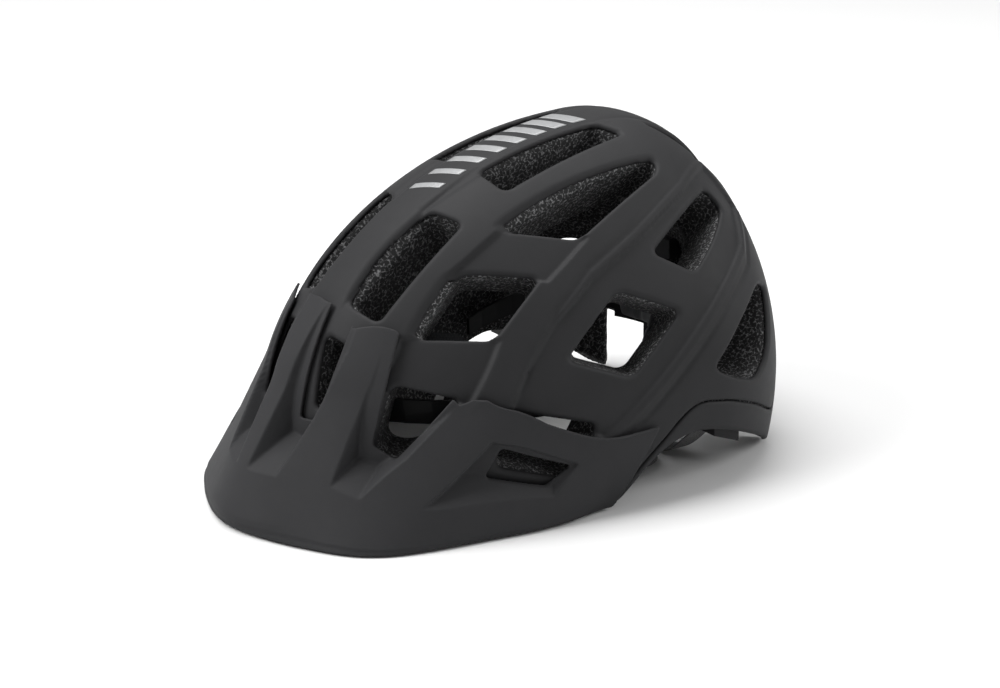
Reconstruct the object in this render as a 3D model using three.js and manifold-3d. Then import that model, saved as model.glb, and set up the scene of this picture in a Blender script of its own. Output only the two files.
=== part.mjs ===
// An all-mountain cycling helmet with a five-fingered visor, modelled as the pieces that it comes apart into.
// Millimetres. +Z is up, the front is -Y and the wearer's left is +X. The helmet stands on a flat floor at z = 0.
// The origin is on the floor, in the middle of the bounding box. Nearly everything mirrors in the plane x = 0.

import * as THREE from 'three';
import { ConvexGeometry } from 'three/addons/geometries/ConvexGeometry.js';
import { mergeVertices } from 'three/addons/utils/BufferGeometryUtils.js';
import Module from 'manifold-3d';

const wasm = await Module();
wasm.setup();

// ---- Driving dimensions ----

// The outer surface is an egg: an ellipsoid with a different semi-axis on each side of its centre.
const CENTRE = new THREE.Vector3(0, 69.5, 41);
const SHELL = { side: 109, front: 194, rear: 95, crown: 135, below: 140 };
const RIDGE = { height: 3.3, flat: 5, fade: 40 }; // raised centre band, with its half-widths in degrees of roll
const SKIN = 1.5;
const GAP = 0.35;
const FOAM = { side: 30, front: 36, rear: 32, crown: 33, below: 30 }; // depth of the head cavity under the surface
const GRID = { around: 32, along: 22 };

// Side profiles as [y, z], from front to rear: the bottom rim, and the groove above the lower band.
const RIM = [
  [-150, 56], [-102, 37], [-55, 22], [-15, 6], [3, 0], [11, 0], [27, 20], [40, 30], [56, 34],
  [73, 31], [91, 24], [117, 11], [130, 0], [175, 0],
];
const GROOVE = [
  [6, -9], [12, 10], [27, 26], [49, 46], [59, 50], [80, 46], [100, 38], [122, 25], [130, 22.5], [133, 41],
  [152, 35.5], [175, 29],
];
const BAND_START = 14;

// Arch over the nape, between the two rear corners that the helmet stands on. Each side wall runs in from the corner
// [x, y] to a point in the head cavity, and the roof is a side profile [y, z].
const NAPE_ARCH = { corner: [71, 136], inner: [31, 106], behind: 200, roof: [[100, 51], [180, 17]] };

// Vents of the left half as corners [y, roll]. Roll is the angle from straight up, in degrees, about the egg's long
// axis. The foam's opening narrows inwards about the vent's middle, or goes to corners of its own.
const VENTS = {
  crown: { outer: [[-14.5, 7.5], [59.5, 7], [66.5, 12.3], [-11.5, 16.2]] },
  brow: { outer: [[-95.5, 15.2], [-46.5, 9.5], [-39.5, 18.4], [-90.5, 28.6]] },
  long: { outer: [[-22.5, 26], [45.5, 21.7], [72.5, 21.7], [70.5, 25], [10.5, 35.3]] },
  front: { outer: [[-51.5, 31], [-17.5, 41.5], [-47.5, 53], [-78.5, 43]] },
  temple: { outer: [[-93.5, 57], [-68.5, 70], [-80.5, 85], [-94.5, 92], [-102.5, 87]] },
  lower_brow: { outer: [[-107.5, 15], [-103, 32], [-110, 56], [-119, 47]] },
  side: {
    outer: [[-14.5, 65], [19.5, 51], [52.5, 60], [19.5, 74]],
    inner: [[-2, 65], [28, 55], [50, 61], [30, 72]],
  },
  upper_rear: { outer: [[48.5, 44], [102.5, 29.5], [109.5, 34], [69.5, 51]] },
  arm: { outer: [[-47.5, 77], [-2.5, 86], [-15.5, 101], [-53, 95]] },
  rear: { outer: [[69.5, 77], [97.5, 63.5], [115.5, 57], [127.5, 58], [115.5, 78.5], [99.5, 84], [76.5, 80]] },
  exhaust_high: { outer: [[90, 9], [132, 10], [136, 22], [112, 19]] },
  exhaust_low: { outer: [[139, 32], [150, 36], [152, 62], [141, 60]] },
};
const VENT_TAPER = 0.85;
const WALL = 30; // depth over which a vent goes from its outer to its inner outline
const DIAL_POCKET = { halfWidth: 21, front: 100, back: 137, above: 21 };

// Visor: a plate ruled from a root curve on the shell to a free edge that all but touches the floor.
const VISOR_PLATE = 2.2;
const VISOR_STANDOFF = 3.4; // outer face of the visor above the shell where it lies on it
const VISOR_ROOT = [[0, -98.5], [28, -88.5], [71, -64.5], [80, -36.5], [89, -1.5], [89, 33.5]]; // [roll, y]
const VISOR_EDGE = [
  [0, -162, 1.6], [48, -147.5, 1.2], [82, -119.5, 1.2], [98, -60.5, 1.2], [103, -25.5, 1.2], [100, 7, 1.4],
];
const VISOR_TIP = { inner: 0.13, bay: 0.24, outer: 0.38 };
const CHANNEL_FLOOR = 0.42; // share of the way from root to edge where a channel's floor ends
const CHANNEL_MOUTH = 0.68;
const PIVOT = { y: 24.5, z: 33, roll: 94, radius: 3, clearance: 0.35, wall: 3, headRim: 1.4 };

// Head-fit system: two toothed belts on one arc about a vertical axis, pulled together by a dial behind the head.
const BELT = { centreY: 48, radius: 70, thickness: 2, frontAngle: 100, wideAngle: 44, slack: 0.4 };
const DIAL = { z: 62, teeth: 10, pitchRadius: 5, knobRadius: 15, knobDepth: 7.5 };
const HOUSING = { halfAngle: 25, halfHeight: 14, inner: 65.5, wall: 2.4, tongueAngle: 7.5, tongueDrop: 33 };
const WEBBING = { width: 15, thickness: 1.4 };

const WELD = 0.004; // vertices closer than this are one

const SIDES = [['left', 1], ['right', -1]];

// ---- Materials ----

function material(colour, roughness, metalness = 0) {
  return new THREE.MeshStandardMaterial({ color: colour, roughness, metalness });
}

const MATERIALS = {
  shell: material(0x3b3b3d, 0.55),
  foam: material(0x1b1b1c, 0.95),
  visor: material(0x38383b, 0.6),
  pad: material(0x26282b, 1),
  plastic: material(0x18181a, 0.5),
  webbing: material(0x1c1c1e, 0.95),
  dial: material(0x2a2a2d, 0.7),
};

// ---- Solids ----

function toSolid(geometry) {
  const bare = geometry.index ? geometry.toNonIndexed() : geometry.clone();
  bare.deleteAttribute('normal');
  bare.deleteAttribute('uv');
  const merged = mergeVertices(bare, 1e-4);
  const mesh = new wasm.Mesh({
    numProp: 3,
    vertProperties: new Float32Array(merged.attributes.position.array),
    triVerts: new Uint32Array(merged.index.array),
  });
  return new wasm.Manifold(mesh);
}

function toGeometry(solid) {
  const mesh = solid.getMesh();
  const geometry = new THREE.BufferGeometry();
  geometry.setAttribute('position', new THREE.BufferAttribute(new Float32Array(mesh.vertProperties), 3));
  geometry.setIndex(new THREE.BufferAttribute(new Uint32Array(mesh.triVerts), 1));
  const welded = withoutSlivers(mergeVertices(geometry, WELD));
  welded.computeVertexNormals();
  return welded;
}

// Drops the triangles that a weld has collapsed, and the pairs that it has folded flat onto each other.
function withoutSlivers(geometry) {
  const { array } = geometry.index;
  const faces = new Map();
  for (let k = 0; k < array.length; k += 3) {
    const corners = [array[k], array[k + 1], array[k + 2]];
    if (new Set(corners).size < 3) continue;
    const key = [...corners].sort((a, b) => a - b).join(' ');
    if (faces.has(key)) faces.delete(key);
    else faces.set(key, corners);
  }
  geometry.setIndex([...faces.values()].flat());
  return geometry;
}

// A closed solid through rings of points that all have the same count, capped at both ends.
function loft(rings) {
  const count = rings[0].length;
  const positions = rings.flat().flatMap((point) => [point.x, point.y, point.z]);
  const index = [];
  for (let ring = 0; ring < rings.length - 1; ring += 1) {
    for (let k = 0; k < count; k += 1) {
      const a = ring * count + k;
      const b = ring * count + ((k + 1) % count);
      index.push(a, b, b + count, a, b + count, a + count);
    }
  }
  const last = (rings.length - 1) * count;
  for (let k = 1; k < count - 1; k += 1) {
    index.push(0, k + 1, k);
    index.push(last, last + k, last + k + 1);
  }
  const geometry = new THREE.BufferGeometry();
  geometry.setAttribute('position', new THREE.Float32BufferAttribute(positions, 3));
  geometry.setIndex(index);
  return facingOut(geometry);
}

// Turns every triangle over if the solid is inside out.
function facingOut(geometry) {
  const { position } = geometry.attributes;
  const index = geometry.index.array;
  const corner = (k) => new THREE.Vector3().fromBufferAttribute(position, index[k]);
  let volume = 0;
  for (let k = 0; k < index.length; k += 3) volume += corner(k).dot(corner(k + 1).cross(corner(k + 2)));
  if (volume < 0) geometry.setIndex(Array.from(index).reverse());
  return geometry;
}

function box(x0, x1, y0, y1, z0, z1) {
  const geometry = new THREE.BoxGeometry(x1 - x0, y1 - y0, z1 - z0);
  geometry.translate((x0 + x1) / 2, (y0 + y1) / 2, (z0 + z1) / 2);
  return toSolid(geometry);
}

// A cylinder along X or Y between two ends.
function rod(axis, from, to, radius, otherA, otherB, sides = 24) {
  const geometry = new THREE.CylinderGeometry(radius, radius, to - from, sides);
  if (axis === 'x') {
    geometry.rotateZ(-Math.PI / 2);
    geometry.translate((from + to) / 2, otherA, otherB);
  } else {
    geometry.translate(otherA, (from + to) / 2, otherB);
  }
  return toSolid(geometry);
}

// Everything under a side profile, right across the helmet.
function slabBelow(profile, drop = 0) {
  const width = 300;
  const points = profile.map(([y, z]) => new THREE.Vector2(y, z - drop));
  const [firstY] = profile[0];
  const [lastY] = profile[profile.length - 1];
  points.push(new THREE.Vector2(lastY, -200), new THREE.Vector2(firstY, -200));
  const geometry = new THREE.ExtrudeGeometry(new THREE.Shape(points), { depth: width, bevelEnabled: false });
  const axes = new THREE.Matrix4().makeBasis(
    new THREE.Vector3(0, 1, 0),
    new THREE.Vector3(0, 0, 1),
    new THREE.Vector3(1, 0, 0),
  );
  geometry.applyMatrix4(axes);
  geometry.translate(-width / 2, 0, 0);
  return toSolid(geometry);
}

// ---- The egg and its layers ----

function semiAxes(inset) {
  const depth = (key) => (typeof inset === 'number' ? inset : inset[key]);
  return Object.fromEntries(Object.entries(SHELL).map(([key, value]) => [key, value - depth(key)]));
}

function deeper(inset, extra) {
  return Object.fromEntries(Object.keys(SHELL).map((key) => [key, inset[key] + extra]));
}

function ridgeHeight(rollDegrees) {
  const past = Math.max(0, Math.abs(rollDegrees) - RIDGE.flat) / (RIDGE.fade - RIDGE.flat);
  return past >= 1 ? 0 : RIDGE.height * (0.5 + 0.5 * Math.cos(Math.PI * past));
}

// Half-width of the egg's middle section at a roll angle, measured from its long axis.
function sectionRadius(rollDegrees, axes) {
  const roll = THREE.MathUtils.degToRad(rollDegrees);
  const upright = Math.cos(roll) > 0 ? axes.crown : axes.below;
  return 1 / Math.hypot(Math.sin(roll) / axes.side, Math.cos(roll) / upright) + ridgeHeight(rollDegrees);
}

function eggPoint(y, rollDegrees, inset = 0) {
  const axes = semiAxes(inset);
  const along = (y - CENTRE.y) / (y < CENTRE.y ? axes.front : axes.rear);
  const radius = Math.sqrt(Math.max(0, 1 - along * along)) * sectionRadius(rollDegrees, axes);
  const roll = THREE.MathUtils.degToRad(rollDegrees);
  return new THREE.Vector3(radius * Math.sin(roll), y, CENTRE.z + radius * Math.cos(roll));
}

function egg(inset) {
  const axes = semiAxes(inset);
  const geometry = new THREE.SphereGeometry(1, GRID.around, GRID.along);
  const position = geometry.attributes.position;
  for (let i = 0; i < position.count; i += 1) {
    const unit = new THREE.Vector3().fromBufferAttribute(position, i);
    const long = unit.y * (unit.y < 0 ? axes.front : axes.rear);
    const flat = new THREE.Vector2(unit.x * axes.side, unit.z * (unit.z > 0 ? axes.crown : axes.below));
    const share = Math.hypot(unit.x, unit.z);
    const rollDegrees = THREE.MathUtils.radToDeg(Math.atan2(flat.x, flat.y));
    flat.setLength(share * sectionRadius(share > 0 ? rollDegrees : 0, axes));
    position.setXYZ(i, flat.x, CENTRE.y + long, CENTRE.z + flat.y);
  }
  return toSolid(geometry);
}

function narrowed(corners, share) {
  const middle = [0, 1].map((k) => corners.reduce((sum, corner) => sum + corner[k], 0) / corners.length);
  return corners.map((corner) => corner.map((value, k) => middle[k] + (value - middle[k]) * share));
}

// A convex plug straight through the wall from above the surface to well inside the cavity. Its outline goes from the
// outer corners at the surface to the inner ones at the wall's full depth, and on at the same rate.
function wallPlug(outer, inner, side) {
  const [middleY, middleRoll] = narrowed(outer, 0)[0];
  const inward = outwardNormal(eggPoint(middleY, middleRoll)).negate();
  const ringAt = (depth) => outer.map(([y, roll], i) => {
    const share = depth / WALL;
    const corner = eggPoint(y + (inner[i][0] - y) * share, roll + (inner[i][1] - roll) * share);
    return corner.addScaledVector(inward, depth);
  });
  const points = [...ringAt(-12), ...ringAt(50)];
  for (const point of points) point.x *= side;
  return toSolid(new ConvexGeometry(points));
}

// A patch of a layer that lies on the inner face of the foam.
function liningPatch(corners, thickness, standoff = GAP) {
  const layer = egg(deeper(FOAM, standoff)).subtract(egg(deeper(FOAM, standoff + thickness)));
  return layer.intersect(wallPlug(corners, corners, 1));
}

function napeArch() {
  const [[cornerX, cornerY], [innerX, innerY]] = [NAPE_ARCH.corner, NAPE_ARCH.inner];
  const farX = innerX + ((NAPE_ARCH.behind - innerY) * (cornerX - innerX)) / (cornerY - innerY);
  const plan = new THREE.Shape([
    new THREE.Vector2(-innerX, innerY),
    new THREE.Vector2(innerX, innerY),
    new THREE.Vector2(farX, NAPE_ARCH.behind),
    new THREE.Vector2(-farX, NAPE_ARCH.behind),
  ]);
  const prism = new THREE.ExtrudeGeometry(plan, { depth: SHELL.crown, bevelEnabled: false });
  prism.translate(0, 0, -SHELL.crown / 2);
  return toSolid(prism).intersect(slabBelow(NAPE_ARCH.roof));
}

const underRim = slabBelow(RIM).add(napeArch());

function ventPlugs() {
  const plugs = [];
  for (const vent of Object.values(VENTS)) {
    for (const [, side] of SIDES) {
      plugs.push(wallPlug(vent.outer, vent.inner ?? narrowed(vent.outer, VENT_TAPER), side));
    }
  }
  return plugs;
}

const vents = ventPlugs();

function pivotBores(radius) {
  return rod('x', -120, 120, radius, PIVOT.y, PIVOT.z, 16);
}

// Everything under the groove and behind the lower band's front end.
function bandRegion(drop, start) {
  return slabBelow(GROOVE, drop).intersect(box(-150, 150, start, 200, -60, 120));
}

function skin() {
  return egg(0).subtract(egg(SKIN)).subtract(underRim);
}

function upperShell() {
  const shell = skin()
    .subtract(bandRegion(-GAP / 2, BAND_START - GAP))
    .subtract(pivotBores(PIVOT.radius + PIVOT.clearance));
  return vents.reduce((solid, plug) => solid.subtract(plug), shell);
}

function lowerShell() {
  return skin().intersect(bandRegion(GAP / 2, BAND_START));
}

function foamLiner() {
  let foam = egg(SKIN + GAP).subtract(egg(FOAM)).subtract(underRim);
  foam = vents.reduce((solid, plug) => solid.subtract(plug), foam);
  const { halfWidth, front, back, above } = DIAL_POCKET;
  const socketSeat = rod('x', 88, 120, PIVOT.radius + PIVOT.wall + GAP, PIVOT.y, PIVOT.z, 16);
  for (const [, side] of SIDES) foam = foam.subtract(mirrored(socketSeat, side));
  return foam.subtract(box(-halfWidth, halfWidth, front, back, -20, DIAL.z + above));
}

// ---- Visor ----

function smoothCurve(points) {
  const mirrored = points.slice(1).map((point) => new THREE.Vector3(-point.x, point.y, point.z)).reverse();
  return new THREE.CatmullRomCurve3([...mirrored, ...points], false, 'catmullrom', 0.5);
}

// How far a point is outside the egg grown by an offset, along the egg's own scaling.
function outsideEgg(point, offset) {
  const axes = semiAxes(-offset);
  const rel = point.clone().sub(CENTRE);
  const along = rel.y / (rel.y < 0 ? axes.front : axes.rear);
  const rollDegrees = THREE.MathUtils.radToDeg(Math.atan2(rel.x, rel.z));
  return Math.hypot(along, Math.hypot(rel.x, rel.z) / sectionRadius(rollDegrees, axes)) - 1;
}

function outwardNormal(point) {
  const rel = point.clone().sub(CENTRE);
  return new THREE.Vector3(
    rel.x / SHELL.side ** 2,
    rel.y / (rel.y < 0 ? SHELL.front : SHELL.rear) ** 2,
    rel.z / (rel.z > 0 ? SHELL.crown : SHELL.below) ** 2,
  ).normalize();
}

// Distance that a point can move straight in before it comes to the egg grown by an offset.
function roomInside(point, offset) {
  const inward = outwardNormal(point).negate();
  let low = 0;
  let high = 80;
  for (let step = 0; step < 24; step += 1) {
    const middle = (low + high) / 2;
    const moved = point.clone().addScaledVector(inward, middle);
    if (outsideEgg(moved, offset) > 0) low = middle;
    else high = middle;
  }
  return low;
}

// Points of the visor's outer face. share runs from the middle (0) to the arm's end (1), drop from root to edge.
function visorFace(rootCurve, edgeCurve, share, drop) {
  const at = 0.5 + share / 2;
  const point = rootCurve.getPoint(at).lerp(edgeCurve.getPoint(at), drop);
  const short = outsideEgg(point, VISOR_STANDOFF);
  if (short < 0) {
    const outward = outwardNormal(point);
    for (let step = 0; step < 40 && outsideEgg(point, VISOR_STANDOFF) < 0; step += 1) {
      point.addScaledVector(outward, 0.25);
    }
  }
  return point;
}

function channelEdges(drop) {
  const t = THREE.MathUtils.clamp(drop / CHANNEL_MOUTH, 0, 1);
  const lerp = THREE.MathUtils.lerp;
  return [
    [lerp(0.045, 0.03, t), lerp(VISOR_TIP.inner, 0.07, t)],
    [lerp(VISOR_TIP.bay, 0.22, t), lerp(VISOR_TIP.outer, 0.3, t)],
  ];
}

// Columns of the half visor: [share, lowered] where lowered columns follow a channel's floor.
function visorColumns(drop) {
  const [inner, outer] = channelEdges(drop);
  const lean = 0.008;
  return [
    [0, false], [inner[0], false],
    [inner[0] + lean, true], [(inner[0] + inner[1]) / 2, true], [inner[1] - lean, true],
    [inner[1], false], [(inner[1] + outer[0]) / 2, false], [outer[0], false],
    [outer[0] + lean, true], [(outer[0] + outer[1]) / 2, true], [outer[1] - lean, true],
    [outer[1], false],
    ...[0.45, 0.52, 0.6, 0.68, 0.74, 0.8, 0.87, 0.94, 1].map((share) => [share, false]),
  ];
}

const VISOR_ROWS = [0, 0.12, 0.25, CHANNEL_FLOOR, 0.5, 0.6, CHANNEL_MOUTH, 0.8, 0.9, 1];
const OPEN_COLUMNS = [[2, 4], [8, 10]]; // the channels' floors, open above CHANNEL_FLOOR
const WINDOW = { columns: [13, 16], rows: [2, 5] };

function visorPoint(rootCurve, edgeCurve, share, drop, lowered) {
  const point = visorFace(rootCurve, edgeCurve, share, drop);
  if (!lowered || drop >= CHANNEL_MOUTH) return point;
  const room = Math.max(0, roomInside(point, VISOR_STANDOFF - 0.4));
  const slope = 75;
  const depth = Math.min((CHANNEL_MOUTH - drop) * slope, room);
  return point.addScaledVector(outwardNormal(point).negate(), depth);
}

function visorGrid() {
  const rootCurve = smoothCurve(VISOR_ROOT.map(([roll, y]) => eggPoint(y, roll, -VISOR_STANDOFF)));
  const edgeCurve = smoothCurve(VISOR_EDGE.map(([x, y, z]) => new THREE.Vector3(x, y, z)));
  return VISOR_ROWS.map((drop) => {
    const half = visorColumns(drop).map(([share, lowered]) => (
      visorPoint(rootCurve, edgeCurve, share, drop, lowered)
    ));
    const mirrored = half.slice(1).reverse().map((point) => new THREE.Vector3(-point.x, point.y, point.z));
    return [...mirrored, ...half];
  });
}

function isOpenCell(row, column, middleColumn) {
  const half = column >= middleColumn ? column - middleColumn : middleColumn - 1 - column;
  const inChannel = OPEN_COLUMNS.some(([first, last]) => half >= first && half < last);
  const aboveFloor = VISOR_ROWS[row] < CHANNEL_FLOOR - 1e-6;
  const inWindow = half >= WINDOW.columns[0] && half < WINDOW.columns[1]
    && row >= WINDOW.rows[0] && row < WINDOW.rows[1];
  return (inChannel && aboveFloor) || inWindow;
}

// A plate over a grid of points with some cells left open, thickened inwards.
function plateSolid(grid, isOpen, thickness) {
  const rows = grid.length;
  const columns = grid[0].length;
  const vertex = (row, column) => row * columns + column;
  const normals = grid.flat().map(() => new THREE.Vector3());
  const cells = [];
  for (let row = 0; row < rows - 1; row += 1) {
    for (let column = 0; column < columns - 1; column += 1) {
      if (isOpen(row, column)) continue;
      cells.push([row, column]);
      const across = grid[row][column + 1].clone().sub(grid[row + 1][column]);
      const down = grid[row + 1][column + 1].clone().sub(grid[row][column]);
      const normal = down.cross(across).normalize();
      for (const [r, c] of [[row, column], [row + 1, column], [row, column + 1], [row + 1, column + 1]]) {
        normals[vertex(r, c)].add(normal);
      }
    }
  }
  const outer = grid.flat();
  const inner = outer.map((point, i) => point.clone().addScaledVector(normals[i].normalize(), -thickness));
  const count = outer.length;
  const kept = new Set(cells.map(([row, column]) => row * columns + column));
  const has = (row, column) => row >= 0 && column >= 0 && row < rows - 1 && column < columns - 1
    && kept.has(row * columns + column);
  const index = [];
  const wall = (a, b) => index.push(a, a + count, b + count, a, b + count, b);
  for (const [row, column] of cells) {
    const a = vertex(row, column);
    const b = vertex(row + 1, column);
    const c = vertex(row + 1, column + 1);
    const d = vertex(row, column + 1);
    index.push(a, b, c, a, c, d, a + count, c + count, b + count, a + count, d + count, c + count);
    if (!has(row, column - 1)) wall(a, b);
    if (!has(row + 1, column)) wall(b, c);
    if (!has(row, column + 1)) wall(c, d);
    if (!has(row - 1, column)) wall(d, a);
  }
  const geometry = new THREE.BufferGeometry();
  const positions = [...outer, ...inner].flatMap((point) => [point.x, point.y, point.z]);
  geometry.setAttribute('position', new THREE.Float32BufferAttribute(positions, 3));
  geometry.setIndex(index);
  return toSolid(facingOut(geometry));
}

function visor() {
  const grid = visorGrid();
  const middle = (grid[0].length - 1) / 2;
  return plateSolid(grid, (row, column) => isOpenCell(row, column, middle), VISOR_PLATE);
}

const PIN_LENGTH = 14; // under the shell
const SOCKET = { from: 17, to: 4.5, floor: 2 }; // depths under the shell

function visorPin(side) {
  const shellX = eggPoint(PIVOT.y, PIVOT.roll).x;
  const end = shellX + VISOR_STANDOFF - VISOR_PLATE - 2 * GAP;
  const head = rod('x', shellX + 0.25, end, PIVOT.radius + PIVOT.headRim, PIVOT.y, PIVOT.z);
  return mirrored(rod('x', shellX - PIN_LENGTH, end, PIVOT.radius, PIVOT.y, PIVOT.z).add(head), side);
}

function pivotSocket(side) {
  const shellX = eggPoint(PIVOT.y, PIVOT.roll).x;
  const [from, to] = [shellX - SOCKET.from, shellX - SOCKET.to];
  const bore = rod('x', from + SOCKET.floor, to + 1, PIVOT.radius + GAP, PIVOT.y, PIVOT.z);
  const body = rod('x', from, to, PIVOT.radius + PIVOT.wall, PIVOT.y, PIVOT.z, 16);
  return mirrored(body.subtract(bore), side);
}

function mirrored(solid, side) {
  return side > 0 ? solid : solid.mirror([1, 0, 0]);
}

// ---- Head-fit system ----

// A point on the belts' arc: angle from straight back towards the left, radius from the arc's axis.
function arcPoint(angleDegrees, radius, z) {
  const angle = THREE.MathUtils.degToRad(angleDegrees);
  return new THREE.Vector3(radius * Math.sin(angle), BELT.centreY + radius * Math.cos(angle), z);
}

function arcBand(stations, innerRadius, outerRadius) {
  return toSolid(loft(stations.map(([angle, low, high]) => [
    arcPoint(angle, innerRadius, low),
    arcPoint(angle, innerRadius, high),
    arcPoint(angle, outerRadius, high),
    arcPoint(angle, outerRadius, low),
  ])));
}

function arcBlock(halfAngle, innerRadius, outerRadius, low, high) {
  const steps = 16;
  const stations = Array.from({ length: steps + 1 }, (_, i) => (
    [halfAngle * ((2 * i) / steps - 1), low, high]
  ));
  return arcBand(stations, innerRadius, outerRadius);
}

// Heights of the teeth past the pitch line, and of the strip behind them.
const TOOTH = { tip: 0.75, root: 1.25, backing: 4.5 };

// Half-belt: a toothed strip inside the housing that widens into the strap round the side of the head.
// up is 1 for the belt whose teeth hang down onto the pinion, -1 for the one that runs under it.
function belt(side) {
  const up = side;
  const pitch = (2 * Math.PI * DIAL.pitchRadius) / DIAL.teeth;
  const degrees = (length) => THREE.MathUtils.radToDeg(length / BELT.radius);
  const tip = DIAL.pitchRadius - TOOTH.tip;
  const root = DIAL.pitchRadius + TOOTH.root;
  const back = root + TOOTH.backing;
  const stations = [];
  const lastTooth = 8;
  stations.push([degrees(-1.5 * pitch), root, back]);
  for (let tooth = -1; tooth < lastTooth; tooth += 1) {
    const middle = (tooth + 0.5) * pitch;
    for (const [offset, low] of [[-0.85, root], [-0.3, tip], [0.3, tip], [0.85, root]]) {
      stations.push([degrees(middle + offset), low, back]);
    }
  }
  stations.push([36, root, back], [40, root, back], [BELT.wideAngle, -6, 8.5]);
  const slopeSteps = 7;
  for (let step = 1; step <= slopeSteps; step += 1) {
    const share = step / slopeSteps;
    const middle = THREE.MathUtils.lerp(1, -17, share);
    const half = THREE.MathUtils.lerp(7.2, 5, share);
    const angle = THREE.MathUtils.lerp(BELT.wideAngle, BELT.frontAngle, share);
    stations.push([angle, middle - half, middle + half]);
  }
  const inner = BELT.radius - BELT.thickness / 2;
  const outer = BELT.radius + BELT.thickness / 2;
  const placed = stations.map(([angle, low, high]) => (
    up > 0
      ? [angle, DIAL.z + low, DIAL.z + high]
      : [-angle, DIAL.z + (angle < BELT.wideAngle ? -high : low), DIAL.z + (angle < BELT.wideAngle ? -low : high)]
  ));
  const ordered = up > 0 ? placed : placed.reverse();
  return arcBand(ordered, inner, outer);
}

function pinionOutline() {
  const outline = new THREE.Shape();
  const root = DIAL.pitchRadius - TOOTH.root + 0.1;
  const tip = DIAL.pitchRadius + TOOTH.tip;
  for (let tooth = 0; tooth < DIAL.teeth; tooth += 1) {
    const middle = Math.PI / 2 + (tooth * 2 * Math.PI) / DIAL.teeth;
    for (const [width, radius] of [[-0.8, root], [-0.28, tip], [0.28, tip], [0.8, root]]) {
      const angle = middle + width / radius;
      const [x, y] = [radius * Math.cos(angle), radius * Math.sin(angle)];
      if (outline.curves.length === 0 && outline.currentPoint.length() === 0) outline.moveTo(x, y);
      else outline.lineTo(x, y);
    }
  }
  outline.closePath();
  return outline;
}

const arcBack = BELT.centreY + BELT.radius;

function alongY(shape, from, to) {
  const geometry = new THREE.ExtrudeGeometry(shape, { depth: to - from, bevelEnabled: false, curveSegments: 10 });
  geometry.applyMatrix4(new THREE.Matrix4().makeBasis(
    new THREE.Vector3(1, 0, 0),
    new THREE.Vector3(0, 0, 1),
    new THREE.Vector3(0, -1, 0),
  ));
  geometry.translate(0, to, DIAL.z);
  return toSolid(geometry);
}

const COVER_OUTER = BELT.radius + BELT.thickness / 2 + BELT.slack + 0.1 + HOUSING.wall;
const KNOB_FRONT = BELT.centreY + COVER_OUTER + 0.5;

function dialPinion() {
  const gear = alongY(pinionOutline(), arcBack - 1, arcBack + 1.1);
  const shaft = rod('y', arcBack + 1, KNOB_FRONT - 0.3, 2.6, 0, DIAL.z, 20);
  return gear.add(shaft);
}

function fitDial() {
  const outline = new THREE.Shape();
  const lobes = 14;
  const steps = lobes * 4;
  for (let step = 0; step < steps; step += 1) {
    const angle = (step * 2 * Math.PI) / steps;
    const radius = DIAL.knobRadius - 0.6 + 0.6 * Math.cos(lobes * angle);
    if (step === 0) outline.moveTo(radius, 0);
    else outline.lineTo(radius * Math.cos(angle), radius * Math.sin(angle));
  }
  outline.closePath();
  return alongY(outline, KNOB_FRONT, KNOB_FRONT + DIAL.knobDepth);
}

function dialCover() {
  const inner = BELT.radius - BELT.thickness / 2 - BELT.slack;
  const { halfAngle, halfHeight, wall } = HOUSING;
  const outside = arcBlock(halfAngle, inner, COVER_OUTER, DIAL.z - halfHeight, DIAL.z + halfHeight);
  const channel = arcBlock(
    halfAngle + 1,
    inner - 1,
    COVER_OUTER - wall,
    DIAL.z - halfHeight + wall,
    DIAL.z + halfHeight - wall,
  );
  return outside.subtract(channel).subtract(rod('y', arcBack, arcBack + 20, 3, 0, DIAL.z, 20));
}

function cradleBase() {
  const outer = BELT.radius - BELT.thickness / 2 - BELT.slack - GAP;
  const { halfAngle, halfHeight, inner } = HOUSING;
  const plate = arcBlock(halfAngle, inner, outer, DIAL.z - halfHeight, DIAL.z + halfHeight);
  const { tongueAngle, tongueDrop } = HOUSING;
  return plate.add(arcBlock(tongueAngle, inner, outer, DIAL.z - tongueDrop, DIAL.z - halfHeight + 1));
}

function napePad() {
  const { halfAngle, halfHeight, inner } = HOUSING;
  const [thickness, margin] = [4, 2];
  const outer = inner - GAP - 0.05;
  return arcBlock(
    halfAngle - 3,
    outer - thickness,
    outer,
    DIAL.z - halfHeight + margin,
    DIAL.z + halfHeight - margin,
  );
}

const HANGER = { y: arcBack - 1, thickness: 2, halfWidth: 7, top: 38, notch: 3, notchDepth: 0.9 };

function heightHanger() {
  const { notch, notchDepth } = HANGER;
  const first = DIAL.z + HOUSING.halfHeight + GAP;
  const count = Math.floor((HANGER.top - HOUSING.halfHeight) / notch);
  const rings = Array.from({ length: count * 2 }, (_, i) => {
    const z = first + Math.floor(i / 2) * notch + (i % 2) * (notch * 0.6);
    const half = HANGER.halfWidth - (i % 2 === 0 ? notchDepth : 0);
    return [
      new THREE.Vector3(-half, HANGER.y, z),
      new THREE.Vector3(half, HANGER.y, z),
      new THREE.Vector3(half, HANGER.y + HANGER.thickness, z),
      new THREE.Vector3(-half, HANGER.y + HANGER.thickness, z),
    ];
  });
  return toSolid(loft(rings));
}

const CLIP = { above: 28, height: 11, halfWidth: 11, lip: 2, depth: 12, clearance: 0.4 };

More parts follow.
